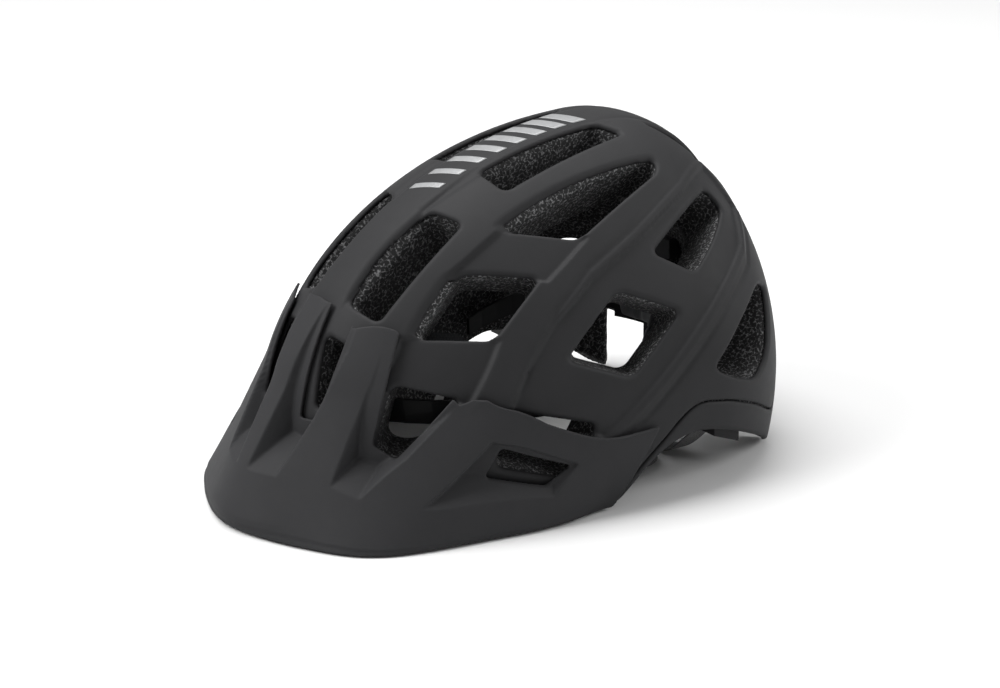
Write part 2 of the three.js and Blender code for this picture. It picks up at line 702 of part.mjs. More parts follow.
function hangerClip() {
  const z0 = DIAL.z + CLIP.above;
  const z1 = z0 + CLIP.height;
  const half = HANGER.halfWidth + CLIP.clearance;
  const slotEnd = HANGER.y + HANGER.thickness + CLIP.clearance;
  const block = box(-CLIP.halfWidth, CLIP.halfWidth, HANGER.y - CLIP.lip, HANGER.y + CLIP.depth, z0, z1);
  const slot = box(-half, half, HANGER.y - CLIP.clearance, slotEnd, z0 - 1, z1 + 1);
  return block.intersect(egg(deeper(FOAM, GAP))).subtract(slot);
}

const FRONT_BAND = { low: 45, high: 57, back: 6, standoff: 1, thickness: 2.4 };

function frontBand() {
  const { low, high, back, standoff, thickness } = FRONT_BAND;
  const layer = egg(deeper(FOAM, standoff)).subtract(egg(deeper(FOAM, standoff + thickness)));
  return layer.intersect(box(-150, 150, -120, back, low, high));
}

// ---- Pads ----

const PAD_THICKNESS = 7;
const BROW_PAD = { halfWidth: 46, front: -110, back: -50, low: 72, high: 92 };
const CROWN_PAD = [[20, -5.5], [20, 5.5], [-40, 5.5], [-40, -5.5]];
const TOP_PAD = [[0, 39], [48, 30], [54, 40], [4, 49]];
const SIDE_PAD = [[42, 72], [62, 56], [72, 60], [56, 76]];
const TEMPLE_PAD = [[-44, 58], [-22, 56], [-22, 70], [-44, 72]];

function browPad() {
  const { halfWidth, front, back, low, high } = BROW_PAD;
  const layer = egg(deeper(FOAM, GAP)).subtract(egg(deeper(FOAM, GAP + PAD_THICKNESS)));
  return layer.intersect(box(-halfWidth, halfWidth, front, back, low, high));
}

// ---- Straps ----

// Each stop of a webbing is [x, y, z, flat x, flat y, flat z]: a point and the direction of the webbing's width.
// The straps are folded up inside the helmet, on the floor.
const FRONT_STRAP = [
  [70, 22, 11, 0, 1, 0], [69, 32, 6, 0.6, 0.5, 0.3], [66.5, 45, 4, 1, 0.1, 0], [62.5, 57, 3.2, 1, 0.5, 0],
  [57.5, 60.8, 3, 0.3, 1, 0], [53.9, 61, 3, 0, 1, 0],
];
const REAR_STRAP = [
  [83.8, 82.5, 24, 0, 1, 0], [76, 82, 16, 0, 1, 0], [65, 80, 6, 0, 1, 0], [54, 79, 3, 0, 1, 0],
];
const REAR_ANCHOR = { front: 74, back: 91, inner: 85, outer: 101, depth: 5.5 };
const FRONT_ANCHOR = { corners: [[8, 96], [22, 96], [22, 104.5], [8, 104.5]], thickness: 4 };
const DIVIDER = { x: 45, y: 70, length: 16, width: 34, height: 5 };
const CHIN_LEFT = [
  [45, 51.6, 2.2, 1, 0, 0], [46.5, 41, 1.5, 1, 0.1, 0], [49, 29, 1.5, 1, 0.1, 0], [47, 17.5, 2, 0.8, -0.6, 0],
  [41, 11.2, 3, 0.2, -1, 0], [34, 10, 3.6, 0, -1, 0],
];
const CHIN_RIGHT = [
  [45, 51.6, 2.2, 1, 0, 0], [46.5, 41, 1.5, 1, 0.1, 0], [49.5, 29, 1.5, 1, 0.1, 0], [48, 17.5, 2, 0.8, -0.6, 0],
  [42.5, 11.2, 3, 0.2, -1, 0], [35.6, 10, 3.8, 0, -1, 0],
];
const CHIN_PAD = [[45.6, 47, 5, 1, 0, 0], [46.8, 39, 4.7, 1, 0.1, 0], [48.6, 30, 4.7, 1, 0.1, 0]];
const CHIN_PAD_SECTION = [20, 4];
const BUCKLE = {
  y: 10, z: 4.4, mouth: -8, socketLength: 26, width: 24, height: 7.6, wall: 1.5,
  prongLength: 18, prongWidth: 3.4, tongue: 13, baseLength: 14, barFrom: 3.5, barTo: 6, loop: 8, loopHeight: 2.8,
  floor: 5, windowLength: 7, windowHeight: 4.8,
};

function webbing(stops, side, width = WEBBING.width, thickness = WEBBING.thickness) {
  const curve = new THREE.CatmullRomCurve3(stops.map(([x, y, z]) => new THREE.Vector3(x * side, y, z)));
  const flats = stops.map((stop) => new THREE.Vector3(stop[3] * side, stop[4], stop[5]).normalize());
  const steps = (stops.length - 1) * 3;
  const rings = Array.from({ length: steps + 1 }, (_, i) => {
    const along = (i / steps) * (stops.length - 1);
    const from = Math.min(Math.floor(along), stops.length - 2);
    const tangent = curve.getTangent(i / steps);
    const flat = flats[from].clone().lerp(flats[from + 1], along - from);
    flat.addScaledVector(tangent, -flat.dot(tangent)).normalize();
    const up = tangent.clone().cross(flat).normalize();
    const middle = curve.getPoint(i / steps);
    return [[-1, -1], [1, -1], [1, 1], [-1, 1]].map(([across, over]) => (
      middle.clone()
        .addScaledVector(flat, (across * width) / 2)
        .addScaledVector(up, (over * thickness) / 2)
    ));
  });
  return toSolid(loft(rings));
}

function rimHeight(y) {
  const next = RIM.findIndex(([end]) => end > y);
  const [[y0, z0], [y1, z1]] = RIM.slice(next - 1, next + 1);
  return THREE.MathUtils.mapLinear(y, y0, y1, z0, z1);
}

// Tab under the rim behind the ear that the rear strap hangs from.
function rearAnchor(side) {
  const { front, back, inner, outer, depth } = REAR_ANCHOR;
  const profile = [front, back].map((y) => [y, rimHeight(y)]);
  const under = slabBelow(profile, GAP).subtract(slabBelow(profile, GAP + depth));
  return mirrored(under.intersect(box(inner, outer, front, back, 0, 60)), side);
}

// Plug in the foam's inner face in front of the ear that the front strap comes out of.
function frontAnchor(side) {
  return mirrored(liningPatch(FRONT_ANCHOR.corners, FRONT_ANCHOR.thickness), side);
}

function divider(side) {
  const { x, y, length, width, height } = DIVIDER;
  const body = box(x - length / 2, x + length / 2, y - width / 2, y + width / 2, GAP, height);
  return mirrored(body, side);
}

function buckleSocket() {
  const { y, z, mouth, socketLength, width, height, wall, floor, windowLength, windowHeight } = BUCKLE;
  const body = box(mouth - socketLength, mouth, y - width / 2, y + width / 2, z - height / 2, z + height / 2);
  const floorOfSocket = mouth - socketLength + floor;
  const hollow = box(
    floorOfSocket,
    mouth + 1,
    y - width / 2 + wall,
    y + width / 2 - wall,
    z - height / 2 + wall,
    z + height / 2 - wall,
  );
  const windows = box(
    floorOfSocket + 1,
    floorOfSocket + 1 + windowLength,
    y - width,
    y + width,
    z - windowHeight / 2,
    z + windowHeight / 2,
  );
  return body.subtract(hollow).subtract(windows);
}

function bucklePlug() {
  const { y, z, mouth, width, height, wall, prongLength, prongWidth, tongue, baseLength, barFrom, barTo } = BUCKLE;
  const inside = height / 2 - wall - GAP;
  const base = box(mouth + GAP, mouth + baseLength, y - width / 2, y + width / 2, z - height / 2, z + height / 2);
  const reach = mouth - prongLength;
  const prongs = [-1, 1].map((hand) => {
    const near = y + hand * (width / 2 - wall - GAP);
    const far = near - hand * prongWidth;
    return box(reach, mouth + 1, Math.min(near, far), Math.max(near, far), z - inside, z + inside);
  });
  const guide = box(mouth - tongue, mouth + 1, y - 2, y + 2, z - inside, z + inside);
  const end = mouth + baseLength;
  const slot = box(end - barTo, end - barFrom, y - 8, y + 8, z - height, z + height);
  return prongs.reduce((solid, prong) => solid.add(prong), base.add(guide)).subtract(slot);
}

// The end of the left chin strap, sewn round the plug's bar.
function strapLoop() {
  const { y, z, mouth, baseLength, loop, loopHeight } = BUCKLE;
  const start = mouth + baseLength + GAP;
  const [halfWidth, halfHeight] = [WEBBING.width / 2, loopHeight / 2];
  return box(start, start + loop, y - halfWidth, y + halfWidth, z - halfHeight, z + halfHeight);
}

// ---- Assembly ----

const helmet = new THREE.Group();

function addPart(name, solid, finish) {
  const mesh = new THREE.Mesh(toGeometry(solid), MATERIALS[finish]);
  mesh.name = name;
  helmet.add(mesh);
}

function addPair(name, build, finish) {
  for (const [sideName, side] of SIDES) addPart(`${name}_${sideName}`, build(side), finish);
}

addPart('upper_shell', upperShell(), 'shell');
addPart('lower_shell', lowerShell(), 'shell');
addPart('foam_liner', foamLiner(), 'foam');
addPart('visor', visor(), 'visor');
addPair('visor_pin', visorPin, 'plastic');
addPair('pivot_socket', pivotSocket, 'plastic');

addPair('fit_belt', belt, 'plastic');
addPart('dial_pinion', dialPinion(), 'plastic');
addPart('fit_dial', fitDial(), 'dial');
addPart('dial_cover', dialCover(), 'plastic');
addPart('cradle_base', cradleBase(), 'plastic');
addPart('nape_pad', napePad(), 'pad');
addPart('height_hanger', heightHanger(), 'plastic');
addPart('hanger_clip', hangerClip(), 'plastic');
addPart('front_band', frontBand(), 'plastic');

addPart('brow_pad', browPad(), 'pad');
addPart('crown_pad', liningPatch(CROWN_PAD, PAD_THICKNESS), 'pad');
addPair('top_pad', (side) => mirrored(liningPatch(TOP_PAD, PAD_THICKNESS), side), 'pad');
addPair('side_pad', (side) => mirrored(liningPatch(SIDE_PAD, PAD_THICKNESS), side), 'pad');
addPair('temple_pad', (side) => mirrored(liningPatch(TEMPLE_PAD, PAD_THICKNESS), side), 'pad');

addPair('rear_anchor', rearAnchor, 'plastic');
addPair('front_anchor', frontAnchor, 'plastic');
addPair('rear_strap', (side) => webbing(REAR_STRAP, side), 'webbing');
addPair('front_strap', (side) => webbing(FRONT_STRAP, side), 'webbing');
addPair('strap_divider', divider, 'plastic');
addPart('chin_strap_left', webbing(CHIN_LEFT, 1), 'webbing');
addPart('chin_strap_right', webbing(CHIN_RIGHT, -1), 'webbing');
addPart('chin_pad', webbing(CHIN_PAD, 1, ...CHIN_PAD_SECTION), 'pad');
addPart('buckle_socket', buckleSocket(), 'plastic');
addPart('buckle_plug', bucklePlug(), 'plastic');
addPart('strap_loop', strapLoop(), 'webbing');

export default helmet;
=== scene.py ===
"""The cycling helmet as it looks: skins, bead foam, visor, pads and webbing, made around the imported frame.

Lengths are millimetres until a mesh is written, and metres after that. The frame is the part's own:
+Z up, front -Y, the wearer's left +X. The left half is worked out, and the right half mirrors it in x = 0.
"""
import math

import bpy
import numpy as np
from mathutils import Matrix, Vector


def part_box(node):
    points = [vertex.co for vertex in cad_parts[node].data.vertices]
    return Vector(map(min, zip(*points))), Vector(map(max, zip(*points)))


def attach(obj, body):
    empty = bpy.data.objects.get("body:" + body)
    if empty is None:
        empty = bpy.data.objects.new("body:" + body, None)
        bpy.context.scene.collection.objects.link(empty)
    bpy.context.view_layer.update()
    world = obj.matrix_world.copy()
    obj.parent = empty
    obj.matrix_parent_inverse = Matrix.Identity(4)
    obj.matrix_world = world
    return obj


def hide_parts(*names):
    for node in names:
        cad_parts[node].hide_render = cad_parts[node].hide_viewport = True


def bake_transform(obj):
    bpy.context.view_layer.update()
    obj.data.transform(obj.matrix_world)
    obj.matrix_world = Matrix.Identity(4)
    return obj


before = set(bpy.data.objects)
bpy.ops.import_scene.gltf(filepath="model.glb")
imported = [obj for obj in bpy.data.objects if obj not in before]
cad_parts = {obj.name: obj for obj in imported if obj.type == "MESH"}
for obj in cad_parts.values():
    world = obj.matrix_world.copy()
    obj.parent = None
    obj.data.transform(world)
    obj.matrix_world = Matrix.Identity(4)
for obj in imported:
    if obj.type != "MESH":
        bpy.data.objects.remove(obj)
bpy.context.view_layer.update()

import openvdb
from mathutils import Vector

MM = 0.001

# ---- Camera ----

CAMERA = {
    "azimuth": 53.4, "elevation": 19.7, "lens": 100, "sensor": 36, "distance": 1.5,
    "target": (0, 0.0465, 0.061), "shift": (-0.0568, -0.0147),
}

# ---- Shape: the egg that the helmet is cut from, as in the CAD model ----

CENTRE_Y, CENTRE_Z = 69.5, 41
SHELL = {"side": 109, "front": 194, "rear": 95, "crown": 135, "below": 140}
FOAM = {"side": 30, "front": 36, "rear": 32, "crown": 33, "below": 30}
RIDGE = {"height": 3.3, "flat": 5, "fade": 40}

# Side profiles as (y, z): the bottom rim, and the groove above the lower band.
RIM = [
    (-150, 56), (-102, 37), (-55, 22), (-15, 6), (3, 0), (11, 0), (27, 20), (40, 30), (56, 34),
    (73, 31), (91, 24), (117, 11), (130, 0), (175, 0),
]
GROOVE = [
    (6, -9), (12, 10), (27, 26), (49, 46), (59, 50), (80, 46), (100, 38), (122, 25), (130, 22.5), (133, 41),
    (152, 35.5), (175, 29),
]
# The arch over the nape: its side walls run in from the rim's rear corner (x, y), under a roof (y, z).
NAPE_ARCH = {"corner": (71, 136), "inner": (31, 106), "roof": [(100, 51), (180, 17)]}

# Vents of the left half as corners (y, roll), with how far each edge flares out at the surface. Edge i runs
# from corner i to the next one.
VENTS = {
    "crown": {"outer": [(-14.5, 7.5), (59.5, 7), (66.5, 12.3), (-11.5, 16.2)], "flare": [2, 1, 1, 1]},
    "brow": {"outer": [(-95.5, 15.2), (-46.5, 9.5), (-39.5, 18.4), (-90.5, 28.6)], "flare": [5, 0, 1, 1]},
    "long": {
        "outer": [(-22.5, 26), (45.5, 21.7), (72.5, 21.7), (70.5, 25), (10.5, 35.3)],
        "flare": [6, 3, 1, 0, 0],
    },
    "front": {"outer": [(-51.5, 31), (-17.5, 41.5), (-47.5, 53), (-78.5, 43)], "flare": [2, 0, 0, 6]},
    "temple": {
        "outer": [(-93.5, 57), (-68.5, 70), (-80.5, 85), (-94.5, 92), (-102.5, 87)],
        "flare": [2, 1, 1, 1, 2],
    },
    "lower_brow": {"outer": [(-107.5, 15), (-103, 32), (-110, 56), (-119, 47)], "flare": [1, 1, 1, 1]},
    "side": {
        "outer": [(-14.5, 65), (19.5, 51), (52.5, 60), (19.5, 74)],
        "inner": [(-2, 65), (28, 55), (50, 61), (30, 72)],
        "flare": [1, 2, 2, 1],
    },
    "upper_rear": {"outer": [(48.5, 44), (102.5, 29.5), (109.5, 34), (69.5, 51)], "flare": [2, 1, 1, 1]},
    "arm": {"outer": [(-47.5, 77), (-2.5, 86), (-15.5, 101), (-53, 95)], "flare": [2, 1, 1, 1]},
    "rear": {
        "outer": [
            (69.5, 77), (97.5, 63.5), (115.5, 57), (127.5, 58), (115.5, 78.5), (99.5, 84), (76.5, 80),
        ],
        "flare": [0, 0, 1, 2, 1, 0, 0],
    },
    "exhaust_high": {"outer": [(90, 9), (132, 10), (136, 22), (112, 19)], "flare": [1, 1, 1, 1]},
    "exhaust_low": {"outer": [(139, 32), (150, 36), (152, 62), (141, 60)], "flare": [1, 1, 1, 1]},
}
VENT_TAPER = 0.85
WALL_DEPTH = 30
CORNER_RADIUS = 3.8
MOUTH_RADIUS = 1.5
FLARE_DEPTH = 5
FLARE_RADIUS = 2

# Recessed panels between the ribs: corners (y, roll), how deep they lie and how wide their edge is.
ROLL_MM = 1.9  # length of a degree of roll on the surface
PANELS = [
    {"corners": [(-56, 29.6), (-20, 24.6), (14, 35.8), (-14, 42.8)], "depth": 2.4, "edge": 2.2},
    {"corners": [(-84, 40), (-44.5, 53.8), (-64, 72), (-100, 55)], "depth": 2.4, "edge": 2.2},
    {
        "corners": [
            (-46.5, 79), (-34.5, 65), (-16.5, 54), (7.5, 46.2), (39.5, 40), (79.5, 31),
            (112, 21), (126, 30), (109.5, 45.5), (79.5, 57.5), (39.5, 74), (1.5, 89.5),
        ],
        "depth": 2.1, "edge": 2.4,
    },
]
# Soft grooves and raised creases along lines (y, roll): positive depths cut in, negative ones stand out.
LINES = [
    {"points": [(-48, 7.2), (-34, 7.6), (-14.5, 7.2)], "depth": 1.3, "width": 2.4},
    {
        "points": [(-98, 12.5), (-70, 9.6), (-46, 7.2), (-14.5, 5.6), (62, 5.4), (110, 7)],
        "depth": 0.6, "width": 1.2,
    },
    {
        "points": [(-44, 74), (-31, 62), (-14, 51), (8, 43.4), (40, 37.2), (79, 28.4), (112, 18)],
        "depth": 0.9, "width": 1.5,
    },
    {
        "points": [(2, 91.5), (39.5, 76), (79.5, 59.5), (109.5, 47.5), (126, 33)],
        "depth": -0.8, "width": 1.6,
    },
    {"points": [(4, 95), (40, 79.5), (80, 63), (110, 51), (128, 36)], "depth": 0.9, "width": 1.4},
]

# ---- Fields: signed distances on a grid over the left half, negative inside ----

STEP = 1.0
FIELD_LIMIT = 4.0  # fields are cut off at this distance before they are meshed
PROFILE_SPAN = (-170, 212)  # the y range of the side profiles
POLISH = {"rounds": 2, "least_slope": 0.2, "most": 0.3}
SKIN_THICKNESS = 2.2
SKIN_LIP = 3.0
SKIN_GAP = 0.35
BARE_FOAM = 0.8
# The visor's pin on each side: its hole through the skin, and the seat of its socket in the foam.
PIVOT = {"y": 24.5, "z": 33, "hole": 3.35, "seat": 6.35, "seat_from": 88}
DIAL_POCKET = {"x": 21, "y": (100, 137), "z": (-20, 83)}
ROUNDING = {"rim": 3.0, "groove": 0.9, "lip": 0.5, "foam": 3.0, "pocket": 1.5}
GRID_X = np.arange(0, 118, STEP, dtype=np.float32)[:, None, None]
GRID_Y = np.arange(-128, 170, STEP, dtype=np.float32)[None, :, None]
GRID_Z = np.arange(-5, 186, STEP, dtype=np.float32)[None, None, :]


def section_radius(roll, axes):
    """Half-width of the egg's middle section at a roll angle in degrees, from its long axis."""
    angle = np.radians(roll)
    upright = np.where(np.cos(angle) > 0, axes["crown"], axes["below"])
    past = np.clip((np.abs(roll) - RIDGE["flat"]) / (RIDGE["fade"] - RIDGE["flat"]), 0, 1)
    ridge = RIDGE["height"] * (0.5 + 0.5 * np.cos(np.pi * past))
    return 1 / np.hypot(np.sin(angle) / axes["side"], np.cos(angle) / upright) + ridge


def egg_point(y, roll, lift=0.0):
    """Points of the outer surface at a roll angle, of the egg grown by lift."""
    y, roll = np.broadcast_arrays(np.asarray(y, float), np.asarray(roll, float))
    along = (y - CENTRE_Y) / (np.where(y < CENTRE_Y, SHELL["front"], SHELL["rear"]) + lift)
    axes = {key: value + lift for key, value in SHELL.items()}
    radius = np.sqrt(np.clip(1 - along ** 2, 0, 1)) * section_radius(roll, axes)
    angle = np.radians(roll)
    return np.stack([radius * np.sin(angle), y, CENTRE_Z + radius * np.cos(angle)], -1)


def egg_distance(x, y, z, inset=None):
    """Distance outside the egg whose semi-axes are the shell's less the inset."""
    axes = {key: value - (inset[key] if inset else 0) for key, value in SHELL.items()}
    radius = np.hypot(x, z - CENTRE_Z)
    section = section_radius(np.degrees(np.arctan2(x, z - CENTRE_Z)), axes)
    half_length = np.where(y < CENTRE_Y, axes["front"], axes["rear"])
    along = (y - CENTRE_Y) / half_length
    scaled = np.sqrt((radius / section) ** 2 + along ** 2)
    slope = np.sqrt((radius / section ** 2) ** 2 + (along / half_length) ** 2)
    return ((scaled - 1) * scaled / np.maximum(slope, 1e-6)).astype(np.float32)


def egg_field(inset=None):
    return egg_distance(GRID_X, GRID_Y, GRID_Z, inset)


def round_max(radius, *fields):
    """The intersection of solids, with every edge where they meet rounded."""
    squares = sum(np.maximum(field + radius, 0) ** 2 for field in fields)
    deepest = fields[0]
    for field in fields[1:]:
        deepest = np.maximum(deepest, field)
    return np.sqrt(squares) - radius + np.minimum(deepest + radius, 0)


def outward(points):
    rel = np.asarray(points, float) - (0, CENTRE_Y, CENTRE_Z)
    lengths = np.stack([
        np.full(rel.shape[:-1], SHELL["side"]),
        np.where(rel[..., 1] < 0, SHELL["front"], SHELL["rear"]),
        np.where(rel[..., 2] > 0, SHELL["crown"], SHELL["below"]),
    ], -1)
    normal = rel / lengths ** 2
    return normal / np.linalg.norm(normal, axis=-1, keepdims=True)


def polyline_distance(y, roll, points, closed=False):
    """Distance on the surface to a line through (y, roll) points; negative inside a closed one."""
    across = roll * ROLL_MM
    nearest = np.full(y.shape, 1e9, np.float32)
    inside = np.zeros(y.shape, bool)
    stops = [(a, b * ROLL_MM) for a, b in points]
    pairs = list(zip(stops, stops[1:] + stops[:1])) if closed else list(zip(stops, stops[1:]))
    for (y0, a0), (y1, a1) in pairs:
        dy, da = y1 - y0, a1 - a0
        share = np.clip(((y - y0) * dy + (across - a0) * da) / (dy * dy + da * da), 0, 1)
        nearest = np.minimum(nearest, np.hypot(y - y0 - share * dy, across - a0 - share * da))
        if closed and da != 0:
            crosses = ((a0 > across) != (a1 > across)) & (y < dy * (across - a0) / da + y0)
            inside ^= crosses
    return np.where(inside, -nearest, nearest) if closed else nearest


def relief(y, roll):
    """How far the surface lies under the plain egg."""
    total = np.zeros(y.shape, np.float32)
    for panel in PANELS:
        inside = -polyline_distance(y, roll, panel["corners"], closed=True)
        share = np.clip(inside / panel["edge"] + 0.5, 0, 1)
        total += panel["depth"] * share * share * (3 - 2 * share)
    for line in LINES:
        away = polyline_distance(y, roll, line["points"]) / line["width"]
        total += line["depth"] * np.exp(-away ** 2)
    return total


def relieved(field):
    """The outer surface's field with the ribs, panels and creases worked in."""
    near = np.nonzero(np.abs(field) < 10)
    y = GRID_Y[0, near[1], 0]
    roll = np.degrees(np.arctan2(GRID_X[near[0], 0, 0], GRID_Z[0, 0, near[2]] - CENTRE_Z))
    result = field.copy()
    result[near] += relief(y, roll)
    return result


def narrowed(corners, share):
    middle = np.mean(corners, axis=0)
    return [tuple(middle + (np.asarray(corner) - middle) * share) for corner in corners]


def vent_ring(vent, depth):
    """Corners of a vent's plug at a depth under the surface."""
    outer = np.asarray(vent["outer"], float)
    inner = np.asarray(vent.get("inner") or narrowed(vent["outer"], VENT_TAPER), float)
    inward = -outward(egg_point(*outer.mean(axis=0)))
    chart = outer + (inner - outer) * depth / WALL_DEPTH
    return egg_point(chart[:, 0], chart[:, 1]) + inward * depth


def side_planes(upper, lower, spread=None):
    """Outward planes (normal, offset) through two rings' edges; spread moves the upper ring's edges out."""
    count = len(upper)
    axis_top, axis_low = upper.mean(axis=0), lower.mean(axis=0)
    planes = []
    for i in range(count):
        j = (i + 1) % count
        top, low = (upper[i] + upper[j]) / 2, (lower[i] + lower[j]) / 2
        along = upper[j] - upper[i]
        if spread is not None:
            out = np.cross(along, axis_top - axis_low)
            out *= np.sign(np.dot(out, top - axis_top)) / np.linalg.norm(out)
            top = top + out * spread[i]
        normal = np.cross(along, top - low)
        normal *= np.sign(np.dot(normal, top - axis_top)) / np.linalg.norm(normal)
        planes.append((normal, np.dot(normal, top)))
    return planes


def plug_field(planes, axes, radius):
    """Distance outside a tapered plug on a grid with those axes."""
    x, y, z = axes
    return round_max(radius, *(
        (n[0] * x + n[1] * y + n[2] * z - offset).astype(np.float32) for n, offset in planes
    ))


def grid_window(points, margin):
    """Slices of the grid that hold the points with a margin."""
    low = points.min(axis=0) - margin
    high = points.max(axis=0) + margin
    starts = (GRID_X[0, 0, 0], GRID_Y[0, 0, 0], GRID_Z[0, 0, 0])
    return [
        slice(max(0, int((low[k] - starts[k]) / STEP)), max(1, int((high[k] - starts[k]) / STEP) + 1))
        for k in range(3)
    ]


def cut_vents(body):
    for vent in VENTS.values():
        top, deep = vent_ring(vent, 0), vent_ring(vent, WALL_DEPTH)
        reach = np.vstack([vent_ring(vent, -8), vent_ring(vent, 50)])
        window = grid_window(reach, 12)
        part = body[tuple(window)]
        axes = GRID_X[window[0]], GRID_Y[:, window[1]], GRID_Z[:, :, window[2]]
        plug = plug_field(side_planes(top, deep), axes, CORNER_RADIUS)
        flared = side_planes(top, vent_ring(vent, FLARE_DEPTH), vent["flare"])
        flare = plug_field(flared, axes, CORNER_RADIUS)
        part = round_max(FLARE_RADIUS, part, -flare)
        body[tuple(window)] = round_max(MOUTH_RADIUS, part, -plug)


def side_profile(points, reach=10):
    """A smooth (y, z) profile sampled on the grid, with its steepness."""
    along = np.arange(*PROFILE_SPAN, STEP)
    heights = np.interp(along, *zip(*points))
    weights = np.hanning(int(2 * reach / STEP) + 1)
    smooth = np.convolve(heights, weights / weights.sum(), "same")
    smooth = np.interp(GRID_Y[0, :, 0], along, smooth)
    slope = np.gradient(smooth, STEP)
    return smooth[None, :, None], np.sqrt(1 + slope ** 2)[None, :, None]


def above(points):
    """Distance above a side profile."""
    height, steepness = side_profile(points)
    return ((GRID_Z - height) / steepness).astype(np.float32)


def nape_arch():
    """Distance outside the space between the two rear corners that the helmet stands on."""
    (corner_x, corner_y), (inner_x, inner_y) = NAPE_ARCH["corner"], NAPE_ARCH["inner"]
    run, rise = corner_x - inner_x, corner_y - inner_y
    wall = (rise * (GRID_X - corner_x) - run * (GRID_Y - corner_y)) / math.hypot(run, rise)
    return np.maximum(wall, above(NAPE_ARCH["roof"])).astype(np.float32)


def hollow_box(x, y, z):
    """Distance inside the box from -x to x, between the two values of y and of z."""
    return np.minimum(
        np.minimum(x - GRID_X, np.minimum(GRID_Y - y[0], y[1] - GRID_Y)),
        np.minimum(GRID_Z - z[0], z[1] - GRID_Z),
    ).astype(np.float32)


def pivot_bore(radius):
    """Distance outside a bore along the visor's axis."""
    return (np.hypot(GRID_Y - PIVOT["y"], GRID_Z - PIVOT["z"]) - radius).astype(np.float32)


def mesh_from_field(name, half, corner=None, step=None):
    """A mesh of a field's zero surface, with the half mirrored. corner is the grid's (y, z) start."""
    step = step or STEP
    corner = corner or (GRID_Y[0, 0, 0], GRID_Z[0, 0, 0])
    field = np.concatenate([half[:0:-1], half]).astype(np.float32)
    np.clip(field, -FIELD_LIMIT, FIELD_LIMIT, out=field)
    grid = openvdb.FloatGrid(background=FIELD_LIMIT)
    grid.copyFromArray(field)
    points, quads = grid.convertToQuads(isovalue=0.0)
    points = polished(points, field)
    origin = np.array([-(half.shape[0] - 1) * step, *corner])
    return mesh_object(name, (origin + points * step) * MM, quads[:, ::-1])


def polished(points, field):
    """Grid points moved onto the field's zero surface, to take out the grid's ripple."""
    limit = np.array(field.shape) - 2
    for _ in range(POLISH["rounds"]):
        cell = np.clip(np.floor(points).astype(int), 0, limit)
        f = points - cell
        corner = {
            (i, j, k): field[cell[:, 0] + i, cell[:, 1] + j, cell[:, 2] + k]
            for i in (0, 1) for j in (0, 1) for k in (0, 1)
        }
        weight = [(1 - f[:, axis], f[:, axis]) for axis in range(3)]
        value = sum(v * weight[0][i] * weight[1][j] * weight[2][k] for (i, j, k), v in corner.items())
        slope = np.stack([
            sum(v * (2 * i - 1) * weight[1][j] * weight[2][k] for (i, j, k), v in corner.items()),
            sum(v * (2 * j - 1) * weight[0][i] * weight[2][k] for (i, j, k), v in corner.items()),
            sum(v * (2 * k - 1) * weight[0][i] * weight[1][j] for (i, j, k), v in corner.items()),
        ], -1)
        steepness = np.maximum((slope ** 2).sum(-1), POLISH["least_slope"])
        move = -value[:, None] * slope / steepness[:, None]
        points = points + np.clip(move, -POLISH["most"], POLISH["most"])
    return points


def mesh_object(name, points, faces):
    mesh = bpy.data.meshes.new(name)
    points = np.ascontiguousarray(points, np.float32)
    faces = np.ascontiguousarray(faces, np.int32)
    mesh.vertices.add(len(points))
    mesh.vertices.foreach_set("co", points.ravel())
    mesh.loops.add(faces.size)
    mesh.loops.foreach_set("vertex_index", faces.ravel())
    mesh.polygons.add(len(faces))
    mesh.polygons.foreach_set("loop_start", np.arange(0, faces.size, faces.shape[1], dtype=np.int32))
    mesh.polygons.foreach_set("use_smooth", np.ones(len(faces), bool))
    mesh.update(calc_edges=True)
    mesh.validate()
    piece = bpy.data.objects.new(name, mesh)
    bpy.context.scene.collection.objects.link(piece)
    print(name, len(points), "points", len(faces), "faces")
    return piece


# ---- Materials ----

def new_material(name):
    material = bpy.data.materials.new(name)
    material.use_nodes = True
    return material, material.node_tree


def add_node(tree, kind, inputs=None, **settings):
    """A node with its settings; an input is a value, or the socket that feeds it."""
    made = tree.nodes.new(kind)
    for key, value in settings.items():
        setattr(made, key, value)
    fill(tree, made, inputs or {})
    return made


def fill(tree, made, inputs):
    for key, value in inputs.items():
        if isinstance(value, bpy.types.NodeSocket):
            tree.links.new(value, made.inputs[key])
        else:
            made.inputs[key].default_value = value


def object_coordinates(tree):
    return add_node(tree, "ShaderNodeTexCoord").outputs["Object"]


def noise(tree, where, scale, detail=2.0, roughness=0.5):
    inputs = {"Vector": where, "Scale": scale, "Detail": detail, "Roughness": roughness}
    return add_node(tree, "ShaderNodeTexNoise", inputs).outputs["Fac"]


def ramp(tree, source, low, high, start, end):
    """Goes from start to end as the source goes from low to high."""
    inputs = {"Value": source, "From Min": low, "From Max": high, "To Min": start, "To Max": end}
    return add_node(tree, "ShaderNodeMapRange", inputs).outputs["Result"]


def maths(tree, operation, *values):
    made = add_node(tree, "ShaderNodeMath", dict(enumerate(values)), operation=operation)
    return made.outputs[0]


def vector_maths(tree, operation, *values):
    made = add_node(tree, "ShaderNodeVectorMath", dict(enumerate(values)), operation=operation)
    return made.outputs[0]


def mix_colour(tree, share, dark, light):
    made = add_node(tree, "ShaderNodeMix", data_type="RGBA")
    tree.links.new(share, made.inputs["Factor"])
    fill(tree, made, {6: (*dark, 1), 7: (*light, 1)})  # the node's colour sockets A and B
    return made.outputs[2]


def bump(tree, height, distance, strength=1.0, onto=None):
    inputs = {"Height": height, "Distance": distance, "Strength": strength}
    if onto is not None:
        inputs["Normal"] = onto
    return add_node(tree, "ShaderNodeBump", inputs).outputs["Normal"]


